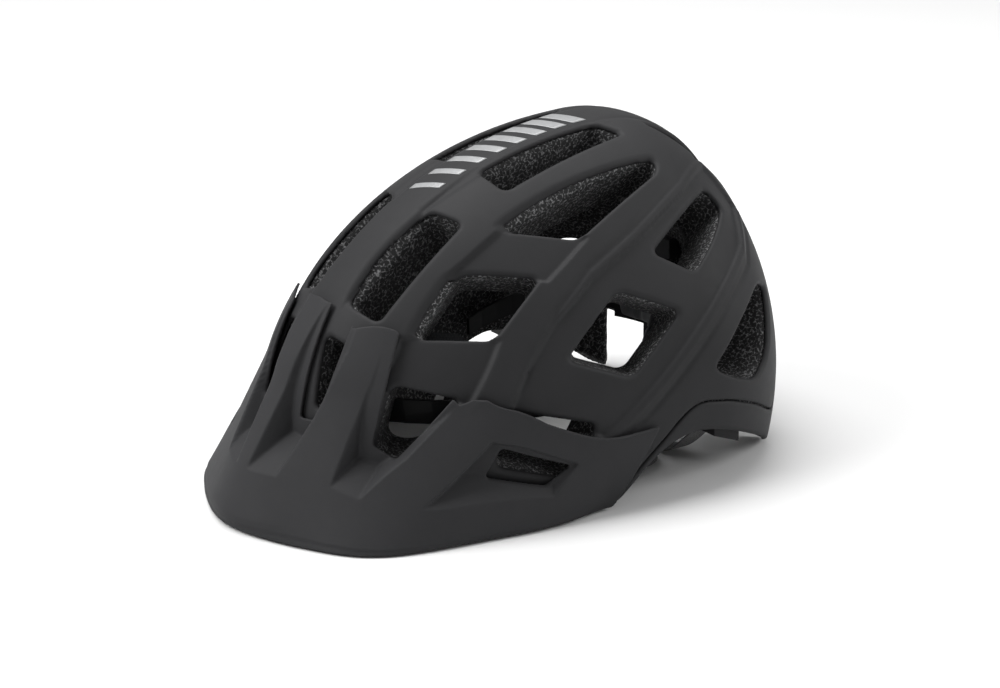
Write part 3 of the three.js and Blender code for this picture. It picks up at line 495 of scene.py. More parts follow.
def moulded(name, dark, light, roughness, grain_scale, grain_depth):
    """A matt moulded plastic with a fine grain, faint waviness and slightly uneven gloss."""
    material, tree = new_material(name)
    where = object_coordinates(tree)
    cloud = noise(tree, where, 22, 5, 0.6)
    grain = noise(tree, where, grain_scale, 2, 0.6)
    wave = noise(tree, where, 90, 1)
    surface = bump(tree, grain, grain_depth, 0.6, bump(tree, wave, 0.0002, 0.05))
    fill(tree, tree.nodes["Principled BSDF"], {
        "Base Color": mix_colour(tree, ramp(tree, cloud, 0.3, 0.7, 0, 1), dark, light),
        "Roughness": ramp(tree, noise(tree, where, 160, 3), 0.3, 0.7, roughness - 0.02, roughness + 0.02),
        "Normal": surface,
        "Specular IOR Level": 0.12,
    })
    return material


def bead_foam(name):
    """Moulded bead foam: near-black beads a few millimetres across, with light flecks along their seams."""
    material, tree = new_material(name)
    where = object_coordinates(tree)
    shaken = add_node(tree, "ShaderNodeTexNoise", {"Vector": where, "Scale": 700.0, "Detail": 2.0})
    offset = vector_maths(tree, "MULTIPLY", shaken.outputs["Color"], (1.6 * MM,) * 3)
    inputs = {"Vector": vector_maths(tree, "ADD", where, offset), "Scale": 400.0}
    beads = add_node(tree, "ShaderNodeTexVoronoi", inputs, feature="DISTANCE_TO_EDGE")
    seam = ramp(tree, beads.outputs["Distance"], 0.02, 0.16, 1, 0)
    patch = ramp(tree, noise(tree, where, 700, 3, 0.7), 0.46, 0.62, 0, 1)
    fleck = maths(tree, "MULTIPLY", seam, patch)
    pits = noise(tree, where, 1100, 3, 0.7)
    fill(tree, tree.nodes["Principled BSDF"], {
        "Base Color": mix_colour(tree, fleck, (0.008, 0.008, 0.0085), (0.27, 0.27, 0.275)),
        "Roughness": 0.8,
        "Normal": bump(tree, pits, 0.0004, 0.6, bump(tree, seam, 0.0004, -0.6)),
    })
    return material


def silver(name):
    """Silver print: a metallic ink, slightly uneven."""
    material, tree = new_material(name)
    where = object_coordinates(tree)
    ink = noise(tree, where, 500, 2)
    fill(tree, tree.nodes["Principled BSDF"], {
        "Base Color": mix_colour(tree, ink, (0.24, 0.243, 0.247), (0.33, 0.334, 0.338)),
        "Metallic": 0.45,
        "Roughness": ramp(tree, noise(tree, where, 300, 2), 0.3, 0.7, 0.4, 0.52),
    })
    return material


def fabric(name, dark, light, scale):
    """A brushed knit: rows of small loops, with a soft nap."""
    material, tree = new_material(name)
    where = object_coordinates(tree)
    loops = add_node(tree, "ShaderNodeTexVoronoi", {"Vector": where, "Scale": scale, "Randomness": 0.35})
    nap = noise(tree, where, scale * 2.5, 4, 0.7)
    height = maths(tree, "MULTIPLY", loops.outputs["Distance"], nap)
    fill(tree, tree.nodes["Principled BSDF"], {
        "Base Color": mix_colour(tree, ramp(tree, height, 0.05, 0.4, 0, 1), light, dark),
        "Roughness": 0.9,
        "Sheen Weight": 0.35,
        "Sheen Roughness": 0.5,
        "Normal": bump(tree, height, 0.0004, -0.9),
    })
    return material


def woven(name):
    """Polyester webbing: ribs across it, worked out from the strap's own length and width."""
    material, tree = new_material(name)
    strap = add_node(tree, "ShaderNodeAttribute", attribute_name="strap").outputs["Vector"]
    parts = add_node(tree, "ShaderNodeSeparateXYZ", {0: strap}).outputs

    def wave(source, pitch):
        return maths(tree, "SINE", maths(tree, "MULTIPLY", source, 2 * math.pi / pitch))

    weave = maths(tree, "MULTIPLY", wave(parts["X"], 1.1 * MM), wave(parts["Y"], 1.5 * MM))
    fuzz = noise(tree, object_coordinates(tree), 2200, 3)
    share = maths(tree, "ADD", ramp(tree, weave, -1, 1, 0, 0.7), fuzz)
    fill(tree, tree.nodes["Principled BSDF"], {
        "Base Color": mix_colour(tree, share, (0.01, 0.01, 0.011), (0.035, 0.035, 0.037)),
        "Roughness": 0.75,
        "Sheen Weight": 0.2,
        "Normal": bump(tree, weave, 0.0003, 0.9),
    })
    return material


MATERIALS = {  # moulded: darker and lighter colour, roughness, grain scale and grain depth in metres
    "shell": moulded("shell_plastic", (0.0215, 0.0215, 0.0225), (0.0255, 0.0255, 0.0267), 0.58, 2600, 5e-5),
    "visor": moulded("visor_plastic", (0.025, 0.025, 0.0264), (0.029, 0.029, 0.0305), 0.62, 2000, 8e-5),
    "foam": bead_foam("bead_foam"),
    "nylon": moulded("moulded_nylon", (0.011, 0.011, 0.012), (0.017, 0.017, 0.018), 0.4, 1500, 5e-5),
    "hardware": moulded("filled_nylon", (0.014, 0.014, 0.015), (0.02, 0.02, 0.021), 0.45, 1200, 8e-5),
    "rubber": moulded("dial_rubber", (0.02, 0.02, 0.021), (0.028, 0.028, 0.03), 0.7, 900, 1e-4),
    "pad": fabric("pad_knit", (0.02, 0.021, 0.023), (0.05, 0.052, 0.056), 900),
    "webbing": woven("webbing"),
    "silver": silver("silver_print"),
}


def finish_piece(piece, body, material, nodes=()):
    """What every new piece needs: its material, its body and the CAD nodes that it stands for."""
    piece.data.materials.append(MATERIALS[material])
    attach(piece, body)
    if nodes:
        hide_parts(*nodes)


# ---- Skins and foam ----

def make_body():
    outer = relieved(egg_field())
    body = round_max(ROUNDING["rim"], outer, -above(RIM), -nape_arch())
    cut_vents(body)
    make_skins(body, outer, above(GROOVE))
    make_foam(body, outer)


def make_skins(body, outer, groove):
    inside = -(body + SKIN_THICKNESS)
    lip = -(outer + SKIN_LIP)
    for name, side in (("upper", 1), ("lower", -1)):
        skin = round_max(ROUNDING["groove"], body, SKIN_GAP - side * groove)
        skin = np.maximum(round_max(ROUNDING["lip"], skin, lip), inside)
        skin = np.maximum(skin, -pivot_bore(PIVOT["hole"]))
        piece = mesh_from_field(f"{name}_skin", skin)
        finish_piece(piece, "helmet", "shell", [f"{name}_shell"])


def make_foam(body, outer):
    under_skin = body + SKIN_THICKNESS + SKIN_GAP
    bare = np.maximum(body + BARE_FOAM, outer + SKIN_LIP + SKIN_GAP)
    foam = np.minimum(under_skin, bare)
    foam = round_max(ROUNDING["foam"], foam, -egg_field(FOAM))
    foam = round_max(ROUNDING["pocket"], foam, hollow_box(**DIAL_POCKET))
    socket_seat = np.maximum(pivot_bore(PIVOT["seat"]), PIVOT["seat_from"] - GRID_X)
    foam = np.maximum(foam, -socket_seat)
    piece = mesh_from_field("bead_foam_liner", foam)
    finish_piece(piece, "helmet", "foam", ["foam_liner"])


# ---- Visor ----

VISOR_PLATE = 2.2
VISOR_STANDOFF = 3.4
VISOR_STEP = 0.7
VISOR_GRID = {"share": 340, "drop": 130}
VISOR_BOX = {"start": (0, -166, -4), "size": (112, 212, 118)}
# The face is ruled from the root on the shell, as (roll, y), to the free edge, as (x, y, z). A share runs
# along both from the middle, 0, to the arm's end, 1, and a drop runs from the root, 0, to the edge, 1.
VISOR_ROOT = [(0, -98.5), (28, -88.5), (71, -64.5), (80, -36.5), (89, -1.5), (89, 30.5)]
VISOR_EDGE = [
    (0, -162, 1.6), (48, -147.5, 1.2), (82, -119.5, 1.2),
    (98, -60.5, 1.2), (103, -25.5, 1.2), (100, 7, 1.4),
]
VISOR_SPAN = {"share": 245, "drop": 88}  # about how long the whole share and the whole drop are
CREST_BLEND = 0.8  # how gently the face leaves the shell
FINGER_TIPS = {"thinner": 0.9, "share": 0.41, "drop": 0.3}  # the fingers thin out towards the root
EDGE_LIP = {"from": 0.962, "step": 0.7, "run": 0.8}
# Where down the face each part of the root edge starts, as (share, drop): the fingers' ends are cut askew.
ROOT_CUT = [
    (0, 0.04), (0.045, 0.05), (0.1, 0.05), (0.15, 0.12), (0.24, 0.02), (0.3, 0.02),
    (0.38, 0.05), (0.4, -0.03), (0.43, -0.07), (0.54, -0.05), (0.64, 0), (1, 0),
]
# The middle stands out like a prow: how far, as (drop, millimetres), and out to which share.
PROW = [(0, 0), (0.35, 4), (0.7, 6.5), (0.93, 5), (1, 1.2)]
PROW_WIDTH = 0.12
# The two channels of the half. Each side is a line of (drop, share) points along its crest.
CHANNELS = [
    {
        "near": [(0, 0.045), (0.74, 0.02)],
        "far": [(0, 0.152), (0.2, 0.157), (0.5, 0.127), (0.74, 0.094)],
        "mouth": 0.74,
    },
    {
        "near": [(0, 0.234), (0.73, 0.22)],
        "far": [(0, 0.385), (0.45, 0.34), (0.67, 0.3), (0.75, 0.285)],
        "mouth": 0.73,
    },
]
NEAR_SLOPE = 1.8
FAR_SLOPE = 5.0
CHANNEL_FALL = 95  # how much a channel's floor falls over the whole drop
# A channel is open down to a drop of 0.5: how far inside its crests the opening's sides lie, by drop.
NEAR_FOOT = {-0.15: 0.003, 0.3: 0.03, 0.5: 0.045}
FAR_FOOT = 0.008
# The side window as corners (share, drop): its recess, and the hole in the recess.
WINDOW_RECESS = [(0.42, 0.69), (0.50, 0.20), (0.76, 0.30), (0.72, 0.66)]
WINDOW_HOLE = [(0.535, 0.53), (0.54, 0.27), (0.745, 0.345), (0.70, 0.59)]
RECESS_SLOPE = 2.0
RECESS_FLOOR_SLOPE = 0.55
RECESS_DEPTH = 9.0
CUT_REACH = 25
CUT_CORNER = 2.0
CUT_ROUND = 0.7


def catmull_rom(knots, position):
    """Points on a smooth curve at positions counted in knots; the first and last knots only steer it."""
    first = np.clip(np.floor(position).astype(int), 0, len(knots) - 4)
    t = (position - first)[..., None]
    p0, p1, p2, p3 = (knots[first + k] for k in range(4))
    square = 2 * p0 - 5 * p1 + 4 * p2 - p3
    cube = 3 * p1 - p0 - 3 * p2 + p3
    return 0.5 * (2 * p1 + (p2 - p0) * t + square * t ** 2 + cube * t ** 3)


def with_end_knots(points):
    return np.vstack([2 * points[0] - points[1], points, 2 * points[-1] - points[-2]])


def mirrored_curve(points, share):
    """A smooth curve through the half's points and their mirror images."""
    half = np.asarray(points, float)
    knots = with_end_knots(np.vstack([half[:0:-1] * (-1, 1, 1), half]))
    return catmull_rom(knots, (0.5 + share / 2) * (len(knots) - 3))


def finger_thinning(share, drop):
    on_finger = np.clip((FINGER_TIPS["share"] - np.abs(share)) / 0.02, 0, 1)
    return FINGER_TIPS["thinner"] * np.clip(1 - drop / FINGER_TIPS["drop"], 0, 1) * on_finger


def visor_crest(share, drop):
    """The visor's outer face before its channels are pressed in."""
    root = [egg_point(y, roll, VISOR_STANDOFF - FINGER_TIPS["thinner"]) for roll, y in VISOR_ROOT]
    start, end = mirrored_curve(root, share), mirrored_curve(VISOR_EDGE, share)
    points = start + (end - start) * drop[..., None]
    away = egg_distance(points[..., 0], points[..., 1], points[..., 2])
    short = VISOR_STANDOFF - finger_thinning(share, drop) - away
    lift = 0.5 * (short + np.sqrt(short ** 2 + CREST_BLEND ** 2))
    prow = np.interp(drop, *zip(*PROW)) * np.exp(-(share / PROW_WIDTH) ** 2)
    return points + outward(points) * (lift * np.clip(1.6 - drop, 0, 1) + prow)[..., None]


def edge_distances(share, drop, corners):
    """Distances inside each edge of an outline of (share, drop) corners."""
    width, height = VISOR_SPAN["share"], VISOR_SPAN["drop"]
    middle = np.mean(corners, axis=0)
    result = []
    for (s0, d0), (s1, d1) in zip(corners, corners[1:] + corners[:1]):
        along = np.array([(s1 - s0) * width, (d1 - d0) * height])
        across = np.array([-along[1], along[0]]) / np.hypot(*along)
        side = np.sign(across[0] * (middle[0] - s0) * width + across[1] * (middle[1] - d0) * height)
        result.append(side * (across[0] * (share - s0) * width + across[1] * (drop - d0) * height))
    return result


def channel_side(channel, key, drop):
    drops, shares = zip(*channel[key])
    return np.interp(drop, drops, shares)


def visor_sink(share, drop, room):
    """How far the face is pressed in: the channels, the side window's recess and the lip at the edge."""
    sink = np.zeros(share.shape)
    for channel in CHANNELS:
        near, far = (channel_side(channel, key, drop) for key in ("near", "far"))
        walls = np.minimum((share - near) * NEAR_SLOPE, (far - share) * FAR_SLOPE) * VISOR_SPAN["share"]
        floor = np.minimum(np.clip(channel["mouth"] - drop, 0, 1) * CHANNEL_FALL, room)
        sink = np.maximum(sink, np.minimum(floor, np.clip(walls, 0, None)))
    left, top, right, bottom = edge_distances(share, drop, WINDOW_RECESS)
    recess = np.minimum.reduce([
        left * RECESS_SLOPE, top * RECESS_SLOPE, right * RECESS_SLOPE, bottom * RECESS_FLOOR_SLOPE,
        np.full(share.shape, RECESS_DEPTH), room,
    ])
    sink = np.maximum(sink, np.clip(recess, 0, None))
    past_lip = np.clip((drop - EDGE_LIP["from"]) * VISOR_SPAN["drop"] / EDGE_LIP["run"], 0, 1)
    return sink + EDGE_LIP["step"] * past_lip


def visor_face(share, drop):
    points = visor_crest(share, drop)
    room = egg_distance(points[..., 0], points[..., 1], points[..., 2]) - VISOR_STANDOFF + 0.4
    sink = visor_sink(np.abs(share), drop, np.clip(room, 0, None))
    return points - outward(points) * sink[..., None]


def plate_mesh(points, thickness):
    """Points and quads of a closed plate under a grid of points."""
    normal = np.cross(np.gradient(points, axis=0), np.gradient(points, axis=1))
    normal /= np.linalg.norm(normal, axis=-1, keepdims=True)
    normal *= np.sign((normal * outward(points)).sum(-1))[..., None]
    return closed_sheet(points, points - normal * thickness[..., None])


def cut_through(corners):
    """Planes of a plug through the visor inside an outline of (share, drop) corners."""
    share, drop = np.array(corners, float).T
    points = visor_crest(share, drop)
    away = outward(points.mean(axis=0)) * CUT_REACH
    return side_planes(points + away, points - away)


def channel_opening(channel):
    """The outline of a channel's opening, as (share, drop) corners."""
    near = [(channel_side(channel, "near", drop) + foot, drop) for drop, foot in NEAR_FOOT.items()]
    far = [(channel_side(channel, "far", drop) - FAR_FOOT, drop) for drop in reversed(NEAR_FOOT)]
    return near + far


def visor_plate():
    """Points and quads of the left half of the plate, and a little past the middle."""
    share, drop = np.meshgrid(
        np.linspace(-0.05, 1, VISOR_GRID["share"]), np.linspace(0, 1, VISOR_GRID["drop"]),
    )
    cut = np.interp(np.abs(share), *zip(*ROOT_CUT))
    drop = cut + (1 - cut) * drop
    return plate_mesh(visor_face(share, drop), VISOR_PLATE - finger_thinning(share, drop))


def make_visor():
    points, quads = visor_plate()
    transform = openvdb.createLinearTransform(voxelSize=VISOR_STEP)
    level = openvdb.FloatGrid.createLevelSetFromPolygons(
        points, quads=quads, transform=transform, halfWidth=5,
    )
    start = np.array([corner // VISOR_STEP for corner in VISOR_BOX["start"]])
    counts = [int(length / VISOR_STEP) for length in VISOR_BOX["size"]]
    field = np.full(counts, FIELD_LIMIT, np.float32)
    level.copyToArray(field, ijk=tuple(int(v) for v in start))
    axes = np.ogrid[tuple(slice(0, n) for n in counts)]
    axes = [(a + s) * VISOR_STEP for a, s in zip(axes, start)]
    for outline in [WINDOW_HOLE] + [channel_opening(channel) for channel in CHANNELS]:
        field = round_max(CUT_ROUND, field, -plug_field(cut_through(outline), axes, CUT_CORNER))
    piece = mesh_from_field("visor_plate", field, tuple(start[1:] * VISOR_STEP), VISOR_STEP)
    finish_piece(piece, "visor", "visor", ["visor"])


# ---- Pads: knit over foam, with a welded edge ----

PAD = {"height": 6.2, "edge": 0.7, "under": 0.45, "drawn_in": 0.11, "cells": 40}
INNER_FACE_ROUNDS = 14
STITCH = {"share": 0.45, "width": 0.05}  # how deep and how wide a sewn channel is, as shares of the pad
PADS = {  # corners (y, roll) on the outer surface; the pad lies straight under them, on the foam
    "crown_pad": [(20, -5.5), (20, 5.5), (-40, 5.5), (-40, -5.5)],
    "top_pad": [(0, 39), (48, 30), (54, 40), (4, 49)],
    "side_pad": [(42, 72), (62, 56), (72, 60), (56, 76)],
    "temple_pad": [(-44, 58), (-22, 56), (-22, 70), (-44, 72)],
}
BROW_PAD = {"x": 44, "y": -60, "low": 73.5, "high": 90.5}
# The arc that the head-fit belts and the nape pad follow, and the nape pad's share of its width and height.
NAPE = {"axis_y": 48, "radius": 65.0, "share": 0.97, "height": 0.65}


def inner_face(points, direction):
    """Points moved along a direction onto the foam's inner face."""
    for _ in range(INNER_FACE_ROUNDS):
        away = egg_distance(points[..., 0], points[..., 1], points[..., 2], FOAM)
        points = points + direction * away[..., None]
    return points


def pad_grid():
    """Shares across and along a pad, from -1 to 1, closer at the edges and drawn in at the corners."""
    steps = np.sin(np.linspace(-1, 1, PAD["cells"] + 1) * math.pi / 2)
    u, v = np.meshgrid(steps, steps)
    shrink = 1 - PAD["drawn_in"] * u ** 2 * v ** 2
    return u * shrink, v * shrink


def make_pad(name, base, body, nodes, inward, channels):
    """A crowned pad on a grid of points of the face that it is stuck to, with sewn channels across it."""
    u, v = pad_grid()
    crown = np.sqrt(np.clip((1 - np.abs(u) ** 5) * (1 - np.abs(v) ** 5), 0, 1))
    stitched = 1 - STITCH["share"] * sum(np.exp(-((u - at) / STITCH["width"]) ** 2) for at in channels)
    height = PAD["edge"] + (PAD["height"] - PAD["edge"]) * crown * stitched
    points, quads = closed_sheet(base + inward * height[..., None], base + inward * PAD["under"])
    piece = mesh_object(name, points * MM, quads)
    finish_piece(piece, body, "pad", nodes)


def facing_out(points, quads):
    """The quads of a closed mesh, turned so that they face out."""
    first = points[quads]
    volume = np.einsum("ij,ij->i", first[:, 0], np.cross(first[:, 1], first[:, 2])).sum()
    return quads if volume > 0 else quads[:, ::-1]


def closed_sheet(top, under):
    """Points and quads of a closed solid between two grids of points."""
    rows, columns = top.shape[:2]
    count = rows * columns
    index = np.arange(count).reshape(rows, columns)
    cells = np.stack([index[:-1, :-1], index[1:, :-1], index[1:, 1:], index[:-1, 1:]], -1).reshape(-1, 4)
    rim = np.concatenate([index[0, :], index[1:, -1], index[-1, -2::-1], index[-2:0:-1, 0]])
    ahead = np.roll(rim, -1)
    sides = np.stack([rim, ahead, ahead + count, rim + count], -1)
    quads = np.concatenate([cells, cells[:, ::-1] + count, sides])
    points = np.concatenate([top.reshape(-1, 3), under.reshape(-1, 3)])
    return points, facing_out(points, quads)


def make_liner_pads():
    u, v = pad_grid()
    weights = [(1 - u) * (1 - v), (1 + u) * (1 - v), (1 + u) * (1 + v), (1 - u) * (1 + v)]
    for name, corners in PADS.items():
        chart = sum(w[..., None] / 4 * np.array(c, float) for w, c in zip(weights, corners))
        outer = egg_point(chart[..., 0], chart[..., 1])
        base = inner_face(outer, -outward(egg_point(*np.mean(corners, axis=0))))
        if name == "crown_pad":
            make_pad("crown_cushion", base, "helmet", [name], -outward(base), (-0.33, 0.33))
            continue
        for hand, side in (("left", 1), ("right", -1)):
            cushion = f"{name.split('_')[0]}_cushion_{hand}"
            sheet = base * (side, 1, 1)
            make_pad(cushion, sheet, "helmet", [f"{name}_{hand}"], -outward(sheet), (0.0,))


def make_brow_pad():
    u, v = pad_grid()
    low, high = BROW_PAD["low"], BROW_PAD["high"]
    x, z = u * BROW_PAD["x"], (low + high) / 2 + v * (high - low) / 2
    base = inner_face(np.stack([x, np.full(x.shape, float(BROW_PAD["y"])), z], -1), np.array([0, 1.0, 0]))
    make_pad("brow_cushion", base, "helmet", ["brow_pad"], -outward(base), (-0.6, -0.2, 0.2, 0.6))


def make_nape_pad():
    u, v = pad_grid()
    low, high = (np.array(corner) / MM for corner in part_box("nape_pad"))
    angle = u * math.asin(high[0] / NAPE["radius"]) * NAPE["share"]
    z = (low[2] + high[2]) / 2 + v * (high[2] - low[2]) / 2
    outward_y, outward_x = np.cos(angle), np.sin(angle)
    base = np.stack([NAPE["radius"] * outward_x, NAPE["axis_y"] + NAPE["radius"] * outward_y, z], -1)
    inward = np.stack([-outward_x, -outward_y, 0 * angle], -1) * NAPE["height"]
    make_pad("nape_cushion", base, "cradle", ["nape_pad"], inward, (-0.33, 0.33))


# ---- Webbing ----

# Stops of each strap: a point, and the direction of its width.
FRONT_STRAP = [
    (70, 22, 11, 0, 1, 0), (69, 32, 6, 0.6, 0.5, 0.3), (66.5, 45, 4, 1, 0.1, 0), (62.5, 57, 3.2, 1, 0.5, 0),
    (57.5, 60.8, 3, 0.3, 1, 0), (53.9, 61, 3, 0, 1, 0),
]
REAR_STRAP = [(83.8, 82.5, 24, 0, 1, 0), (76, 82, 16, 0, 1, 0), (65, 80, 6, 0, 1, 0), (54, 79, 3, 0, 1, 0)]
CHIN_LEFT = [
    (45, 51.6, 2.2, 1, 0, 0), (46.5, 41, 1.5, 1, 0.1, 0), (49, 29, 1.5, 1, 0.1, 0),
    (47, 17.5, 2, 0.8, -0.6, 0), (41, 11.2, 3, 0.2, -1, 0), (34, 10, 3.6, 0, -1, 0),
    (27, 10, 4.4, 0, -1, 0), (20.5, 10, 4.9, 0, -1, 0), (14, 10, 4.5, 0, -1, 0), (6.6, 10, 4.4, 0, -1, 0),
]
CHIN_RIGHT = [
    (45, 51.6, 2.2, 1, 0, 0), (46.5, 41, 1.5, 1, 0.1, 0), (49.5, 29, 1.5, 1, 0.1, 0),
    (48, 17.5, 2, 0.8, -0.6, 0), (42.5, 11.2, 3, 0.2, -1, 0), (35.6, 10, 3.8, 0, -1, 0),
]
CHIN_PAD = [(45.6, 47, 5, 1, 0, 0), (46.8, 39, 4.7, 1, 0.1, 0), (48.6, 30, 4.7, 1, 0.1, 0)]
WEBBING = {"width": 15, "thickness": 1.3}
CHIN_CUSHION = {"width": 20, "thickness": 3, "crown": 1.0}
RIBBON = {"per_stop": 12, "around": 32}


def ribbon_section(width, thickness, crown):
    """Points (across, over) round a band's section, with rounded selvedges."""
    ring = np.linspace(0, 2 * math.pi, RIBBON["around"], endpoint=False)
    across = np.sign(np.cos(ring)) * np.abs(np.cos(ring)) ** 0.35 * width / 2
    over = np.sign(np.sin(ring)) * np.abs(np.sin(ring)) ** 0.6 * thickness / 2
    return across, over + np.where(over > 0, crown * (1 - (across / width * 2) ** 2), 0)


def tube_quads(rows, around):
    """Quads of a tube of rings of points, with its ends closed by strips."""
    index = np.arange(rows * around).reshape(rows, around)
    ahead = np.roll(index, -1, axis=1)
    sides = np.stack([index[:-1], index[1:], ahead[1:], ahead[:-1]], -1).reshape(-1, 4)
    caps = []
    for row, turn in ((index[0], 1), (index[-1], -1)):
        for k in range(around // 2 - 1):
            cap = [row[k], row[k + 1], row[(around - k - 2) % around], row[(around - k - 1) % around]]
            caps.append(cap[::turn])
    return np.concatenate([sides, np.array(caps)])


def ribbon(name, stops, side, width, thickness, crown=0.0):
    """A band along a smooth curve, that carries its own length and width as an attribute."""
    knots = with_end_knots(np.array(stops, float) * (side, 1, 1, side, 1, 1))
    count = (len(stops) - 1) * RIBBON["per_stop"] + 1
    curve = catmull_rom(knots, np.linspace(0, len(stops) - 1, count))
    middle, flat = curve[:, :3], curve[:, 3:]
    tangent = np.gradient(middle, axis=0)
    tangent /= np.linalg.norm(tangent, axis=1, keepdims=True)
    flat -= tangent * (flat * tangent).sum(1, keepdims=True)
    flat /= np.linalg.norm(flat, axis=1, keepdims=True)
    up = np.cross(tangent, flat)
    up *= np.sign(up[:, 2:3] + 1e-6)
    across, over = ribbon_section(width, thickness, crown)
    points = middle[:, None] + flat[:, None] * across[:, None] + up[:, None] * over[:, None]
    points = points.reshape(-1, 3)
    piece = mesh_object(name, points * MM, facing_out(points, tube_quads(count, RIBBON["around"])))
    steps = np.linalg.norm(np.diff(middle, axis=0), axis=1)
    length = np.concatenate([[0], np.cumsum(steps)])
    strap = np.stack(np.broadcast_arrays(length[:, None], across[None, :], 0.0), -1).astype(np.float32)
    held = piece.data.attributes.new("strap", "FLOAT_VECTOR", "POINT")
    held.data.foreach_set("vector", (strap * MM).ravel())
    return piece


def make_webbing():
    width, thickness = WEBBING["width"], WEBBING["thickness"]
    for hand, side in (("left", 1), ("right", -1)):
        for name, stops in (("front", FRONT_STRAP), ("rear", REAR_STRAP)):
            piece = ribbon(f"{name}_webbing_{hand}", stops, side, width, thickness)
            finish_piece(piece, "helmet", "webbing", [f"{name}_strap_{hand}"])
    right = ribbon("chin_webbing_right", CHIN_RIGHT, -1, width, thickness)
    finish_piece(right, "helmet", "webbing", ["chin_strap_right"])
    left = ribbon("chin_webbing_left", CHIN_LEFT, 1, width, thickness)
    left.data.materials.append(MATERIALS["webbing"])
    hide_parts("chin_strap_left", "strap_loop")
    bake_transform(left)


def make_chin_cushion():
    pad = ribbon("chin_cushion", CHIN_PAD, 1, **CHIN_CUSHION)
    finish_piece(pad, "helmet", "pad", ["chin_pad"])


# ---- Generic marks on the crown: slanted bars that follow the centre band ----

BARS = {
    "first": -38, "last": 58, "count": 8, "half_width": 4.3, "slant": 7, "lift": 0.22, "thickness": 0.3,
    "shortest": 0.32, "longest": 0.7,  # shares of the pitch
}


def make_bars():
    pitch = (BARS["last"] - BARS["first"]) / BARS["count"]
    for number in range(BARS["count"]):
        share = number / (BARS["count"] - 1)
        start = BARS["first"] + number * pitch
        length = pitch * (BARS["shortest"] + (BARS["longest"] - BARS["shortest"]) * share)
        along, across = np.meshgrid(np.linspace(0, length, 12), np.linspace(-1, 1, 12))
        y = start + along + BARS["slant"] * across / 2
        top = egg_point(y, across * BARS["half_width"], BARS["lift"])
        points, quads = closed_sheet(top, top - outward(top) * BARS["thickness"])
        bar = mesh_object(f"crown_bar_{number + 1}", points * MM, quads)
        finish_piece(bar, "helmet", "silver")


# ---- Hardware: the CAD's own pieces, with softened edges and their real materials ----

HARDWARE = {  # the nodes of each material
    "rubber": ["fit_dial"],
    "nylon": [
        "fit_belt_left", "fit_belt_right", "dial_cover", "cradle_base", "height_hanger", "front_band",
    ],
    "hardware": [
        "visor_pin_left", "visor_pin_right", "pivot_socket_left", "pivot_socket_right", "dial_pinion",
        "hanger_clip", "rear_anchor_left", "rear_anchor_right", "front_anchor_left", "front_anchor_right",
        "strap_divider_left", "strap_divider_right", "buckle_socket", "buckle_plug",
    ],
}
BEVELS = {
    "fit_dial": 0.6, "strap_divider_left": 0.8, "strap_divider_right": 0.8, "buckle_socket": 0.7,
    "buckle_plug": 0.5,
}
PLAIN_BEVEL = 0.35
WELD = 0.02


def dress_hardware():
    for material, names in HARDWARE.items():
        for name in names:
            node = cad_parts[name]
            if not node.data.materials:
                node.data.materials.append(None)
            for place in range(len(node.data.materials)):
                node.data.materials[place] = MATERIALS[material]
            soften_edges(node, BEVELS.get(name, PLAIN_BEVEL))


def soften_edges(node, width):
    weld = node.modifiers.new("weld", "WELD")
    weld.merge_threshold = WELD * MM
    bevel = node.modifiers.new("bevel", "BEVEL")
    bevel.width = width * MM
    bevel.segments = 2
    bevel.limit_method = "ANGLE"
    bevel.angle_limit = math.radians(38)


# ---- Floor, light and camera ----

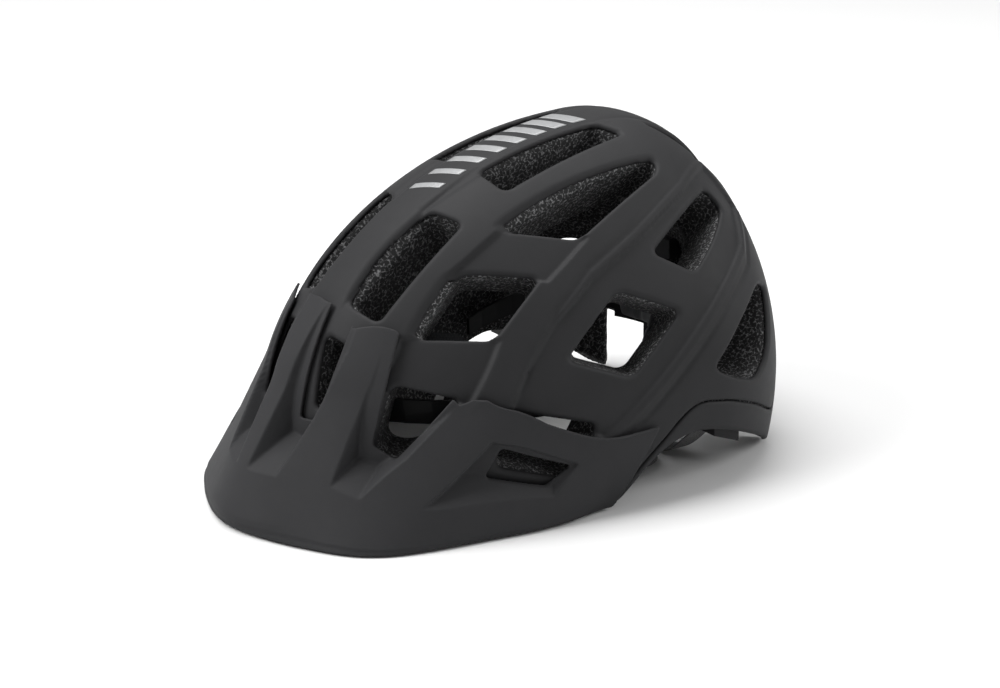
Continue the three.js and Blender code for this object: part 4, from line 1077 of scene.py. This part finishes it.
def make_camera():
    azimuth, elevation = (math.radians(CAMERA[key]) for key in ("azimuth", "elevation"))
    back = Vector((
        math.sin(azimuth) * math.cos(elevation),
        -math.cos(azimuth) * math.cos(elevation),
        math.sin(elevation),
    ))
    data = bpy.data.cameras.new("camera")
    data.lens = CAMERA["lens"]
    data.sensor_width = CAMERA["sensor"]
    data.shift_x, data.shift_y = CAMERA["shift"]
    camera = bpy.data.objects.new("camera", data)
    camera.location = Vector(CAMERA["target"]) + back * CAMERA["distance"]
    camera.rotation_euler = back.to_track_quat("Z", "Y").to_euler()
    bpy.context.scene.collection.objects.link(camera)
    bpy.context.scene.camera = camera


FLOOR = {"half_size": 6.0, "grey": 0.67}
WORLD_STRENGTH = 0.4


def make_floor():
    material, tree = new_material("floor_white")
    grey = FLOOR["grey"]
    fill(tree, tree.nodes["Principled BSDF"], {"Base Color": (grey, grey, grey, 1), "Roughness": 0.9})
    corners = np.array([(-1, -1, 0), (1, -1, 0), (1, 1, 0), (-1, 1, 0)]) * FLOOR["half_size"]
    floor = mesh_object("floor", corners, np.array([[0, 1, 2, 3]]))
    floor.data.materials.append(material)


LIGHTS = [
    {"name": "overhead", "at": (-0.5, 0.1, 1.7), "to": (0, 0.03, 0.08), "size": (1.6, 1.2), "power": 34},
    {"name": "left_key", "at": (-0.5, -1.4, 1.35), "to": (0, 0, 0.08), "size": (1.0, 0.9), "power": 30},
    {"name": "rear_rim", "at": (1.0, 1.5, 0.9), "to": (0.05, 0.1, 0.1), "size": (0.4, 1.0), "power": 18},
]


def make_lights():
    world = bpy.data.worlds.new("studio")
    world.use_nodes = True
    fill(world.node_tree, world.node_tree.nodes["Background"], {
        "Color": (1, 1, 1, 1),
        "Strength": WORLD_STRENGTH,
    })
    bpy.context.scene.world = world
    for light in LIGHTS:
        data = bpy.data.lights.new(light["name"], "AREA")
        data.shape = "RECTANGLE"
        data.size, data.size_y = light["size"]
        data.energy = light["power"]
        lamp = bpy.data.objects.new(light["name"], data)
        lamp.location = light["at"]
        aim = Vector(light["at"]) - Vector(light["to"])
        lamp.rotation_euler = aim.to_track_quat("Z", "Y").to_euler()
        bpy.context.scene.collection.objects.link(lamp)
    bpy.context.scene.view_settings.view_transform = "Standard"


make_camera()
make_floor()
make_lights()
make_body()
make_visor()
make_liner_pads()
make_brow_pad()
make_nape_pad()
make_webbing()
make_chin_cushion()
make_bars()
dress_hardware()
